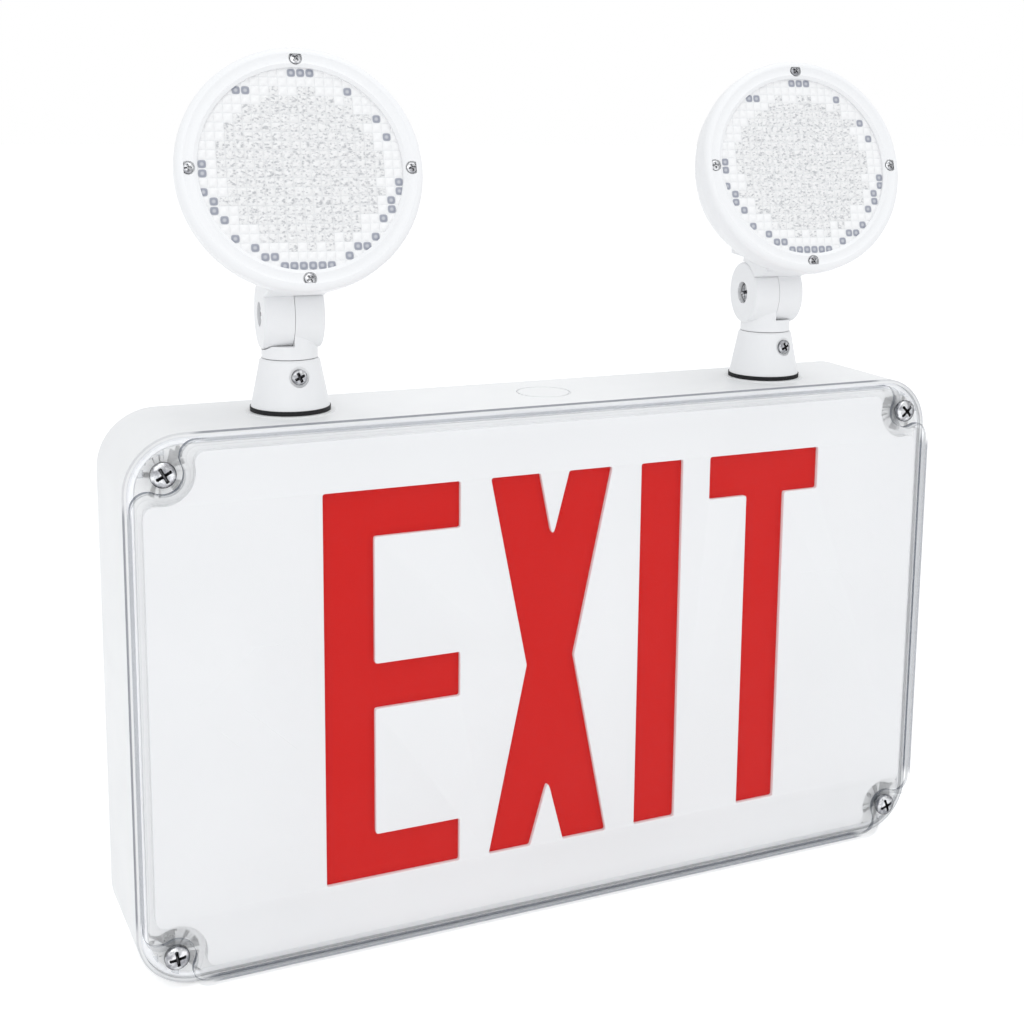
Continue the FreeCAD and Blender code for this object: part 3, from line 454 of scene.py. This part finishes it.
def clear_sheet(name, colour, roughness, stops, side_shade_colour):
    """Thin clear plastic: plain to see through face on, and greyer the more it's seen edge on.

    stops are (facing, solidity) pairs, with facing 0 face on and 1 edge on. Light that lamps and
    walls send passes it in full.
    """
    finish = Finish(name, colour, roughness)
    finish.bump(finish.noise(70.0, 1.0), 0.00003)
    plain = finish.tones(finish.edge_on(), [(facing, grey(solid)) for facing, solid in stops])
    solid, forward = cover_solidity(finish, plain)
    finish.link(finish.product(forward, 0.5), finish.shader.inputs["Specular IOR Level"])
    path = finish.node("ShaderNodeLightPath")
    lighting = finish.number("MAXIMUM", path.outputs["Is Shadow Ray"],
                             path.outputs["Is Diffuse Ray"])
    clear = finish.node("ShaderNodeBsdfTransparent").outputs[0]
    finish.surface(finish.mixed(finish.blend(lighting, solid, 0.0), clear,
                                finish.shader.outputs[0]))
    face = finish.tones(finish.noise(40.0, 2.0), [(0.3, scaled(colour, 0.9)),
                                                  (0.7, scaled(colour, 1.1))])
    # The sides take a dark grey of painted shade; forward faces take the plastic's faint tint.
    finish.colour(finish.blend(forward, side_shade_colour, face, colours=True))
    return finish


lens_radius, lens_pitch = 37.0, 3.25


def prism_plastic(name, colour, roughness):
    """Clear prism plastic under a white share, with painted light and shade on the prisms.

    The mark prism_place holds the grid square across, the grid square up and the share of the
    radius. A random number for each square picks the squares. Those in the middle carry painted
    glints and the white share, which paints the lamp's brightness, is less there; the rest are
    white, with lines of painted shade between them. Near the rim some hold a grey rounded square
    of painted shade, fewer of them towards the top, and a broken grey line of painted shade runs
    at the very rim. Both are shaped by u(1 - u) v(1 - v), with u and v from 0 to 1 across a
    square.
    """
    finish = Finish(name, colour, roughness)
    finish.set(Transmission_Weight=1.0, IOR=1.49)
    finish.colour(finish.tones(finish.noise(60.0, 2.0), [(0.3, scaled(colour, 0.97)),
                                                         (0.7, colour)]))
    grid = finish.mark("prism_place", "Vector")
    _, up, share = finish.axes(grid)
    square = finish.vector("MULTIPLY", finish.vector("FLOOR", grid), (1.0, 1.0, 0.0))
    white_noise = finish.node("ShaderNodeTexWhiteNoise", noise_dimensions="3D")
    finish.link(square, white_noise.inputs["Vector"])
    chance = white_noise.outputs["Value"]
    from_axis = finish.vector("LENGTH", finish.vector("ADD", square, (0.5, 0.5, 0.0)))
    square_share = finish.product(from_axis, lens_pitch / lens_radius)
    within = finish.vector("FRACTION", grid)
    rest = finish.vector("SUBTRACT", (1.0, 1.0, 1.0), within)
    hump_u, hump_v, _ = finish.axes(finish.vector("MULTIPLY", within, rest))
    pillow = finish.product(hump_u, hump_v)

    # Painted shade: grey rounded squares near the rim, more of them towards the bottom.
    near_rim = finish.tones(square_share, [(0.875, grey(0.0)), (0.876, grey(1.0)),
                                           (0.96, grey(1.0)), (0.961, grey(0.0))])
    rarer = finish.mapped(up, -11.0, 11.0, 0.15, 0.7)
    picked = finish.number("GREATER_THAN", chance, rarer)
    spot = finish.tones(pillow, [(0.008, grey(0.0)), (0.018, grey(0.85)), (0.045, grey(1.0)),
                                 (0.06, grey(0.6))])
    painted_shade_squares = finish.product(finish.product(near_rim, picked), spot)
    # Painted shade: a broken grey line at the very rim.
    painted_rim_shade = finish.tones(share, [(0.975, grey(0.0)), (0.98, grey(1.0))])
    broken = finish.tones(finish.noise(70.0, 1.0), [(0.46, grey(0.0)), (0.54, grey(0.9))])
    dark = finish.number("MAXIMUM", painted_shade_squares, finish.product(painted_rim_shade, broken))

    uneven = finish.number("MULTIPLY_ADD", chance, 0.12, square_share)
    middle = finish.tones(uneven, [(0.83, grey(1.0)), (0.831, grey(0.0))])
    # Painted shade in lines between the squares, and painted glints in the middle ones.
    painted_cell_light = finish.tones(pillow, [(0.0, (0.86, 0.87, 0.88)), (0.01, (0.96, 0.96, 0.965))])
    painted_glints = finish.tones(finish.noise(800.0, 3.0, (1.0, 0.8, 1.6)),
                          [(0.36, (0.6, 0.61, 0.63)), (0.45, (0.86, 0.86, 0.87)),
                           (0.52, (1.0, 1.0, 1.0))])
    painted_cell_light = finish.blend(finish.product(middle, finish.span(pillow, 0.004, 0.012)),
                         painted_cell_light, painted_glints, colours=True)

    white = finish.node("ShaderNodeBsdfPrincipled")
    white.inputs["Roughness"].default_value = 0.2
    finish.link(finish.relief(pillow, 0.007), white.inputs["Normal"])
    finish.link(finish.blend(dark, painted_cell_light, (0.31, 0.33, 0.4), colours=True),
                white.inputs["Base Color"])
    # The white share paints the lamp's brightness, whiter outside the middle squares.
    painted_white_share = finish.tones(middle, [(0.0, grey(0.96)), (1.0, grey(0.84))])
    body = finish.mixed(finish.number("MAXIMUM", painted_white_share, dark), finish.shader.outputs[0],
                        white.outputs[0])
    shadow = finish.node("ShaderNodeLightPath").outputs["Is Shadow Ray"]
    clear = finish.node("ShaderNodeBsdfTransparent").outputs[0]
    finish.surface(finish.mixed(shadow, body, clear))
    return finish


def board_finish(name, colour, trace):
    """Circuit board: solder resist over narrow copper runs."""
    finish = Finish(name, colour, 0.35)
    brick = finish.node("ShaderNodeTexBrick")
    brick.inputs["Scale"].default_value = 140.0
    brick.inputs["Mortar Size"].default_value = 0.03
    brick.inputs["Color1"].default_value = (*colour, 1.0)
    brick.inputs["Color2"].default_value = (*scaled(colour, 0.9), 1.0)
    brick.inputs["Mortar"].default_value = (*trace, 1.0)
    turn = finish.node("ShaderNodeMapping")
    turn.inputs["Rotation"].default_value = (math.pi / 2, 0, 0)
    finish.link(finish.place, turn.inputs["Vector"])
    finish.link(turn.outputs["Vector"], brick.inputs["Vector"])
    finish.colour(brick.outputs["Color"])
    finish.bump(brick.outputs["Fac"], 0.00003)
    return finish


def make_finishes():
    """One finish for each slot of the record."""
    cover_stops = [(0.0, 0.006), (0.3, 0.012), (0.5, 0.05), (0.75, 0.2), (1.0, 0.6)]
    lit_red = (0.60, 0.011, 0.009)
    made = {
        "housing_white": moulded_housing("moulded_housing", (0.875, 0.88, 0.885), 0.42),
        "head_white": moulded("moulded_lamp_head", (0.895, 0.90, 0.91), 0.38),
        "bezel_white": moulded("moulded_bezel", (0.895, 0.90, 0.91), 0.34),
        "panel_white": moulded("satin_face_panel", (0.88, 0.885, 0.895), 0.45, depth=0.00001),
        "button_white": moulded("moulded_button", (0.88, 0.88, 0.87), 0.35),
        "gasket_white": pale_seal("pale_seal", (0.92, 0.93, 0.95)),
        "gasket_black": rubber("black_seal", (0.012, 0.012, 0.014)),
        "cover_clear": clear_sheet("clear_cover_plastic", (0.55, 0.59, 0.65), 0.08,
                                   cover_stops, side_shade_colour=(0.17, 0.19, 0.23)),
        "lens_clear": prism_plastic("clear_lens_plastic", (0.99, 0.995, 1.0), 0.01),
        "screw_steel": screw_metal("zinc_screw", (0.74, 0.75, 0.77)),
        "nut_steel": turned_metal("zinc_nut", (0.66, 0.67, 0.69), 0.3),
        "strap_steel": turned_metal("zinc_strap", (0.66, 0.67, 0.69), 0.35),
        "core_steel": turned_metal("varnished_core", (0.16, 0.16, 0.17), 0.45),
        "bowl_chrome": turned_metal("plated_reflector", (0.95, 0.955, 0.96), 0.22),
        "reflector_white": moulded("matt_light_box", (0.9, 0.9, 0.9), 0.7),
        "board_white": board_finish("white_lamp_board", (0.82, 0.84, 0.82), (0.7, 0.72, 0.7)),
        "board_green": board_finish("green_board", (0.02, 0.11, 0.04), (0.05, 0.2, 0.08)),
        "sleeve_green": moulded("battery_sleeve", (0.02, 0.16, 0.05), 0.3, grain=500.0),
        "clamp_grey": moulded("terminal_block_plastic", (0.27, 0.29, 0.3), 0.5),
        "switch_black": moulded("switch_plastic", (0.01, 0.01, 0.01), 0.4),
        "pilot_red": moulded("pilot_lens", (0.55, 0.01, 0.008), 0.15),
        "diffuser_red": moulded("red_diffuser_plastic", lit_red, 0.5, depth=0.00001, drift=0.01),
    }
    made["diffuser_red"].set(Specular_IOR_Level=0.08, Emission_Color=(*lit_red, 1.0),
                             Emission_Strength=0.05)
    return {slot: finish.material for slot, finish in made.items()}


finishes = make_finishes()


def finish_cad_nodes():
    """Gives every CAD node the finish of its slot."""
    for part in frame["record"]["subparts"]:
        node = nodes[part["node"]]
        node.data.materials.clear()
        node.data.materials.append(finishes[part["material_slot"]])


# Surfaces from arrays

def grid_faces(rows, columns, closed=False):
    """Quads between neighbours in a grid of points, whose last column meets the first if closed."""
    last = columns if closed else columns - 1
    i, j = np.meshgrid(np.arange(rows - 1), np.arange(last), indexing="ij")
    k = (j + 1) % columns
    quads = np.stack([i * columns + j, i * columns + k, (i + 1) * columns + k,
                      (i + 1) * columns + j], -1)
    return quads.reshape(-1, 4)


def make_piece(name, points, faces, body, slot, marks=None):
    """Puts arrays of points, in mm, and faces into a piece that rides on a body.

    Points that meet are merged, every face is turned outwards and edges of over 35 degrees are
    sharp.

    marks holds named arrays with one number, or three, for each point, for the finish to read.
    """
    mesh = bpy.data.meshes.new(name)
    mesh.from_pydata((points * MM).tolist(), [], [list(map(int, face)) for face in faces])
    for mark, values in (marks or {}).items():
        kind, field = ("FLOAT", "value") if values.ndim == 1 else ("FLOAT_VECTOR", "vector")
        mesh.attributes.new(mark, kind, "POINT").data.foreach_set(field, values.ravel())
    mesh.validate()
    mesh.materials.append(finishes[slot])
    piece = bpy.data.objects.new(name, mesh)
    bpy.context.scene.collection.objects.link(piece)
    work = bmesh.new()
    work.from_mesh(mesh)
    bmesh.ops.remove_doubles(work, verts=work.verts, dist=0.001 * MM)
    bmesh.ops.recalc_face_normals(work, faces=work.faces)
    work.to_mesh(mesh)
    work.free()
    mesh.shade_smooth()
    mesh.set_sharp_from_angle(angle=math.radians(35.0))
    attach(piece, body)
    return piece


def joined(parts):
    """One array of points and one list of faces from several pairs of them."""
    points, faces, start = [], [], 0
    for part_points, part_faces in parts:
        points.append(part_points)
        faces += [[start + int(v) for v in face] for face in part_faces]
        start += len(part_points)
    return np.concatenate(points), faces


# Face panel with the word cut through it

def softened(corners, radius, steps=5):
    """Closed outline through corners, in x and z, each rounded by a short parabola.

    Each corner becomes the points (1-t)^2 A + 2t(1-t) P + t^2 B for t from 0 to 1, where P is the
    corner and A and B lie on its two sides, as far from P as a fillet of that radius would start.
    """
    corners = np.asarray(corners, float)
    before = np.roll(corners, 1, 0) - corners
    after = np.roll(corners, -1, 0) - corners
    before_length = np.linalg.norm(before, axis=1, keepdims=True)
    after_length = np.linalg.norm(after, axis=1, keepdims=True)
    before /= before_length
    after /= after_length
    cosine = np.clip((before * after).sum(1, keepdims=True), -0.999, 0.999)
    start = radius / np.sqrt((1 - cosine) / (1 + cosine))
    start = np.minimum(start, 0.45 * np.minimum(before_length, after_length))
    t = np.linspace(0, 1, steps)[None, :, None]
    a = (corners + before * start)[:, None]
    b = (corners + after * start)[:, None]
    curve = (1 - t) ** 2 * a + 2 * t * (1 - t) * corners[:, None] + t ** 2 * b
    return curve.reshape(-1, 2)


def arc_points(centre, first, last, steps):
    """Points on the shorter arc about centre from first to last: the angle runs evenly."""
    a = math.atan2(first[1] - centre[1], first[0] - centre[0])
    b = math.atan2(last[1] - centre[1], last[0] - centre[0])
    turn = (b - a + math.pi) % (2 * math.pi) - math.pi
    angle = a + turn * np.linspace(0, 1, steps)
    radius = math.dist(centre, first)
    return np.stack([centre[0] + radius * np.cos(angle), centre[1] + radius * np.sin(angle)], 1)


def notched_outline(half_x, half_z, screw, notch, flare):
    """Rectangle in x and z, with a round notch about each corner screw that flares into the sides.

    One corner is three arcs: radius flare, then radius notch about the screw, then radius flare.
    The other corners are its mirror images.
    """
    sx, sz = screw
    reach = flare + notch
    lower = (half_x - flare, sz - math.sqrt(reach ** 2 - (half_x - flare - sx) ** 2))
    upper = (sx - math.sqrt(reach ** 2 - (half_z - flare - sz) ** 2), half_z - flare)
    touch = [tuple(np.add(c, np.subtract(screw, c) * flare / reach)) for c in (lower, upper)]
    middle = (sx - notch * math.sqrt(0.5), sz - notch * math.sqrt(0.5))
    corner = np.concatenate([
        arc_points(lower, (half_x, lower[1]), touch[0], 8),
        arc_points(screw, touch[0], middle, 12)[1:], arc_points(screw, middle, touch[1], 12)[1:],
        arc_points(upper, touch[1], (upper[0], half_z), 8)[1:]])
    mirrored = corner[::-1]
    return np.concatenate([corner, mirrored * (-1, 1), corner * (-1, -1), mirrored * (1, -1)])


def letter_outlines():
    """The four letters of EXIT as corner points in x and z, in millimetres on the panel's front."""
    top, bottom = 77.4, -75.0
    letter_e = [(-100.8, top), (-47.0, top), (-47.0, 59.4), (-81.2, 59.4), (-81.2, 10.4),
                (-47.0, 10.4), (-47.0, -7.3), (-81.2, -7.3), (-81.2, -57.5), (-47.0, -57.5),
                (-47.0, bottom), (-100.8, bottom)]
    letter_x = [(-34.6, top), (-13.9, top), (-8.4, 51.0), (-1.5, top), (17.4, top), (1.6, 2.2),
                (17.4, bottom), (-2.1, bottom), (-9.1, -48.5), (-16.6, bottom), (-34.6, bottom),
                (-18.9, 1.0)]
    letter_i = [(30.3, top), (49.3, top), (49.3, bottom), (30.3, bottom)]
    letter_t = [(61.9, top), (114.4, top), (114.4, 59.7), (98.1, 59.7), (98.1, bottom),
                (79.7, bottom), (79.7, 59.7), (61.9, 59.7)]
    return [letter_e, letter_x, letter_i, letter_t]


def filled_plate(name, outlines, thickness, edge):
    """Flat plate between an outer outline and the holes in it, with a small round on each edge."""
    curve = bpy.data.curves.new(name, "CURVE")
    curve.dimensions = "2D"
    curve.fill_mode = "BOTH"
    curve.extrude = thickness / 2 - edge
    curve.bevel_depth = edge
    curve.bevel_resolution = 2
    curve.offset = -edge
    for outline in outlines:
        spline = curve.splines.new("POLY")
        spline.points.add(len(outline) - 1)
        spline.points.foreach_set("co", np.column_stack(
            [outline, np.zeros(len(outline)), np.ones(len(outline))]).ravel())
        spline.use_cyclic_u = True
    holder = bpy.data.objects.new(name + "_outline", curve)
    bpy.context.scene.collection.objects.link(holder)
    mesh = bpy.data.meshes.new_from_object(
        holder.evaluated_get(bpy.context.evaluated_depsgraph_get()))
    points = np.empty(len(mesh.vertices) * 3)
    mesh.vertices.foreach_get("co", points)
    faces = [tuple(polygon.vertices) for polygon in mesh.polygons]
    bpy.data.objects.remove(holder)
    bpy.data.curves.remove(curve)
    bpy.data.meshes.remove(mesh)
    return points.reshape(-1, 3), faces


screw_head_radius = 4.6


def panel_sizes():
    """Half width, half height, front and back of the panel, and its corner screw, in mm."""
    low, high = (np.array(corner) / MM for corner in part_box("face_panel"))
    screws = np.array(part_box("cover_screws")[1]) / MM
    screw = (screws[0] - screw_head_radius, screws[2] - screw_head_radius)
    return high[0], high[2], -low[1], -high[1], screw


def make_stencil_panel():
    """Plate with the letters cut through it, and the rim behind that carries it on the housing.

    The rim is a rectangle profile carried along the panel's outline, a hair inside it and with
    its front edge in the middle of the plate.
    """
    half_x, half_z, front, back, screw = panel_sizes()
    plate_thickness, edge_round, letter_round = 2.0, 0.25, 1.1
    notch, flare = 11.4, 4.2

    def outline_inside(gap):
        return notched_outline(half_x - gap, half_z - gap, screw, notch + gap, flare - gap)

    outer, foot, inner = (outline_inside(gap) for gap in (0.0, 0.03, 1.6))
    letters = [softened(letter, letter_round) for letter in letter_outlines()]
    points, faces = filled_plate("stencil", [outer] + letters, plate_thickness, edge_round)
    plate = np.stack([points[:, 0], -front + plate_thickness / 2 - points[:, 2], points[:, 1]], 1)
    count = len(outer)
    rim_front = front - 1.0
    ring = [np.column_stack([outline[:, 0], np.full(count, -depth), outline[:, 1]])
            for outline, depth in ((foot, back), (foot, rim_front), (inner, rim_front),
                                   (inner, back), (foot, back))]
    rim = (np.concatenate(ring), grid_faces(len(ring), count, closed=True)[:, ::-1])
    points, faces = joined([(plate, faces), rim])
    panel = make_piece("stencil_panel", points, faces, "sign_body", "panel_white")
    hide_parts("face_panel")


def make_direction_marks():
    """Faint outlines of the two knock-out arrows, as raised lines beside the word.

    Each is half an ellipse, of that half width and height, carried along a line.
    """
    _, _, front, _, _ = panel_sizes()
    half_width, height = 0.16, 0.05
    left = [[(-148.3, 3.8), (-126.6, 23.1), (-118.0, 23.0)],
            [(-131.1, 1.1), (-111.3, -18.0)], [(-141.0, -5.6), (-132.0, -14.4)]]
    right = [[(107.7, 23.4), (126.1, 23.2), (136.0, 13.3)],
             [(122.7, 8.7), (131.4, 1.4), (111.6, -16.8)]]
    around = np.linspace(0, math.pi, 5)
    parts = []
    for line in left + right:
        line = np.array(line)
        ahead = np.gradient(line, axis=0)
        ahead /= np.linalg.norm(ahead, axis=1, keepdims=True)
        across = np.stack([-ahead[:, 1], ahead[:, 0]], 1)
        flat = line[:, None] + across[:, None] * half_width * np.cos(around)[None, :, None]
        depth = np.broadcast_to(-front - height * np.sin(around), flat.shape[:2])
        points = np.stack([flat[..., 0], depth, flat[..., 1]], -1).reshape(-1, 3)
        parts.append((points, grid_faces(len(line), len(around))))
    points, faces = joined(parts)
    make_piece("direction_marks", points, faces, "sign_body", "panel_white")


# Cross-head screws

def screw_surface(radius, height, shank, length, slot, rings=26, around=72, dark=0.9):
    """Pan-head screw with a cross recess, in millimetres, its head towards +z and z = 0 under it.

    Over a share s of the radius the head's height is that of its wall plus a low dome,
    wall + (1 - wall) sqrt(1 - s^2.6) of the whole, less the recess. The recess is a step wherever
    a point lies within slot / 2 of either arm's middle line and within the arms' length,
    smoothed over a short width and deepening to the middle. The fourth number of each point is
    the painted shade of the recess, from 0 on the head to dark in the recess.
    """
    wall, recess_depth, shallower = 0.55, 0.8, 0.55
    arm_length, arm_soft, slot_soft = 0.62 * radius, 0.12 * radius, 0.16 * slot
    r = radius * np.sin(np.linspace(0, math.pi / 2, rings)) ** 1.3
    angle = np.linspace(0, 2 * math.pi, around, endpoint=False)
    rr, aa = np.meshgrid(r, angle, indexing="ij")
    x, y = rr * np.cos(aa), rr * np.sin(aa)
    dome = height * (wall + (1 - wall) * np.sqrt(np.clip(1 - (rr / radius) ** 2.6, 0, 1)))
    arm = np.minimum(np.abs(x), np.abs(y))
    reach = np.maximum(np.abs(x), np.abs(y))
    inside = np.clip((slot / 2 - arm) / slot_soft + 0.5, 0, 1)
    inside *= np.clip((arm_length - reach) / arm_soft + 0.5, 0, 1)
    recess = height * recess_depth * inside * (
        1 - shallower * np.clip(reach / (0.7 * radius), 0, 1))
    # The fourth column is painted shade, strongest deep in the cross recess.
    top = np.stack([x, y, dome - recess, dark * inside ** 1.5], -1)
    profile = np.array([(radius, 0.12 * height), (radius * 0.97, 0.0), (shank, 0.0),
                        (shank, -length + 0.4 * shank), (0.6 * shank, -length), (0.0, -length)])
    side = np.stack([profile[:, 0, None] * np.cos(angle), profile[:, 0, None] * np.sin(angle),
                     np.broadcast_to(profile[:, 1, None], (len(profile), around)),
                     np.zeros((len(profile), around))], -1)
    points = np.concatenate([top, side]).reshape(-1, 4)
    return points, grid_faces(rings + len(profile), around, closed=True)


def set_screw_at(surface, place, outwards, spin=0.0):
    """Turns a screw's surface so that its head faces outwards, and moves it to its place."""
    points, faces = surface
    turn = Vector(outwards).to_track_quat("Z", "Y").to_matrix() @ Matrix.Rotation(spin, 3, "Z")
    placed = points[:, :3] @ np.array(turn).T + np.asarray(place)
    return np.column_stack([placed, points[:, 3]]), faces


def make_screws(name, node, body, parts):
    """One piece from the placed surfaces of one or more screws, in place of a CAD node."""
    points, faces = joined(parts)
    # The recess mark carries the painted shade of the cross recesses.
    piece = make_piece(name, points[:, :3], faces, body, "screw_steel",
                       marks={"recess": points[:, 3]})
    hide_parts(node)


def make_cover_screws():
    """The four corner screws, each with its cross turned differently."""
    low, high = (np.array(corner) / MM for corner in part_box("cover_screws"))
    height = 3.0
    head = screw_surface(screw_head_radius, height, shank=2.3, length=13.0, slot=0.9, dark=0.85)
    parts = []
    for x, z, spin in ((low[0], high[2], 0.5), (low[0], low[2], 0.15), (high[0], high[2], 0.75),
                       (high[0], low[2], 0.35)):
        place = (x - math.copysign(screw_head_radius, x), low[1] + height,
                 z - math.copysign(screw_head_radius, z))
        parts.append(set_screw_at(head, place, (0, -1, 0), spin))
    make_screws("cover_cross_screws", "cover_screws", "sign_body", parts)


# The lamps at rest, with angles in radians and distances in millimetres

rest_turns = {"left": math.radians(-5.5), "right": math.radians(-6.9)}
rest_tilt = math.radians(16.3)
set_screw_turns = {"left": math.radians(0.5), "right": math.radians(9.4)}
bezel_ahead, bezel_above = 44.8, 43.9


def joint_place(name):
    """Where that joint is in the record, in mm."""
    joint = next(j for j in frame["record"]["behaviour"]["joints"] if j["name"] == name)
    return np.array(joint["pos_m"]) / MM


def lamp_frame(side):
    """Middle of the bezel's front face, in mm, and the lamp's across, up and outward directions."""
    turn, tilt = rest_turns[side], rest_tilt
    across = np.array([math.cos(turn), math.sin(turn), 0])
    ahead = np.array([math.sin(turn), -math.cos(turn), 0])
    outward = math.cos(tilt) * ahead + math.sin(tilt) * np.array([0, 0, 1])
    up = np.cross(outward, across)
    middle = joint_place(side + "_tilt") + bezel_ahead * outward + bezel_above * up
    return middle, across, up, outward


def on_lamp(side, points):
    """Carries points from the lamp's own frame (across, up, towards the front) to the sign's."""
    middle, across, up, outward = lamp_frame(side)
    return middle + points @ np.stack([across, up, outward])


def make_small_screws(side):
    """Bezel screws, set screw and pivot screw of one lamp."""
    middle, across, up, outward = lamp_frame(side)
    circle, seat = 39.0, 1.2
    head = screw_surface(1.95, 1.1, shank=1.2, length=6.0, slot=0.5, rings=20, around=56,
                         dark=0.35)
    parts = []
    for number, spin in enumerate((0.3, 0.9, 0.1, 0.6)):
        angle = number * math.pi / 2
        place = (middle + circle * (math.cos(angle) * across + math.sin(angle) * up)
                 - seat * outward)
        parts.append(set_screw_at(head, place, outward, spin))
    make_screws(side + "_bezel_cross_screws", side + "_bezel_screws", side + "_lamp_head", parts)

    turn = set_screw_turns[side]
    out = np.array([math.sin(turn), -math.cos(turn), 0])
    axis = joint_place(side + "_pan")
    low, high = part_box(side + "_set_screw")
    seat = 11.3
    place = np.array([axis[0], axis[1], (low[2] + high[2]) / 2 / MM]) + seat * out
    head = screw_surface(2.9, 2.0, shank=1.9, length=4.0, slot=0.85)
    make_screws(side + "_set_cross_screw", side + "_set_screw", "sign_body",
                [set_screw_at(head, place, out, 0.45)])

    pivot = joint_place(side + "_tilt")
    seat = 8.23
    head = screw_surface(4.1, 2.2, shank=2.4, length=18.6, slot=1.1)
    make_screws(side + "_pivot_cross_screw", side + "_pivot_screw", side + "_lamp_head",
                [set_screw_at(head, pivot - seat * across, -across, 0.2)])


# Prismatic lens

def make_prism_lens(side):
    """Round lens, flat in front, with a square grid of pillow prisms behind.

    The back's height over x and y is h (1 - (2u - 1)^2)(1 - (2v - 1)^2), where u and v run from
    0 to 1 across each square cell. Points of the square grid beyond the rim are drawn in to it,
    and the wall joins the outline of the back to that of the front.
    """
    radius, pitch, height, thickness = lens_radius, lens_pitch, 0.75, 1.5
    cells, fine = 24, 6
    prisms_to, front_depth = 35.4, 1.8
    step = pitch / fine
    count = cells * fine + 1
    line = (np.arange(count) - (count - 1) / 2) * step
    x, y = np.meshgrid(line, line, indexing="ij")
    u = np.abs(x) / pitch % 1.0
    v = np.abs(y) / pitch % 1.0
    pillow = height * (1 - (2 * u - 1) ** 2) * (1 - (2 * v - 1) ** 2)
    distance = np.hypot(x, y)
    pillow = np.where(distance > prisms_to, 0.0, pillow)
    pull = np.where(distance > radius, radius / np.maximum(distance, 1e-9), 1.0)
    keep = distance <= radius + 0.75 * step
    back = np.stack([x * pull, y * pull, -front_depth - thickness - pillow], -1).reshape(-1, 3)
    front = back.copy()
    front[:, 2] = -front_depth
    quads = grid_faces(count, count)
    quads = quads[keep.reshape(-1)[quads].all(1)]
    total = count * count
    sides = np.concatenate([quads[:, [a, (a + 1) % 4]] for a in range(4)])
    key = np.sort(sides, 1) @ np.array([total, 1])
    _, index, uses = np.unique(key, return_index=True, return_counts=True)
    outline = sides[index[uses == 1]]
    wall = np.column_stack([outline, outline[:, ::-1] + total])
    faces = np.concatenate([quads, quads[:, ::-1] + total, wall])
    points = np.concatenate([back, front])
    used = np.unique(faces)
    renumber = np.zeros(2 * total, int)
    renumber[used] = np.arange(len(used))
    flat = points[used]
    grid = np.column_stack([flat[:, :2] / pitch, np.hypot(flat[:, 0], flat[:, 1]) / radius])
    lens = make_piece(side + "_prism_lens", on_lamp(side, flat), renumber[faces],
                      side + "_lamp_head", "lens_clear", marks={"prism_place": grid})
    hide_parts(side + "_lamp_lens")


make_camera()
make_world()
make_floor()
area_light("front_softbox", (-1.1, -2.2, 1.3), power=9.0)
area_light("top_softbox", (0.4, -0.3, 2.2), power=9.6)
finish_cad_nodes()
make_stencil_panel()
make_direction_marks()
make_cover_screws()
for side in ("left", "right"):
    make_small_screws(side)
    make_prism_lens(side)

bpy.context.scene.view_settings.view_transform = "Standard"
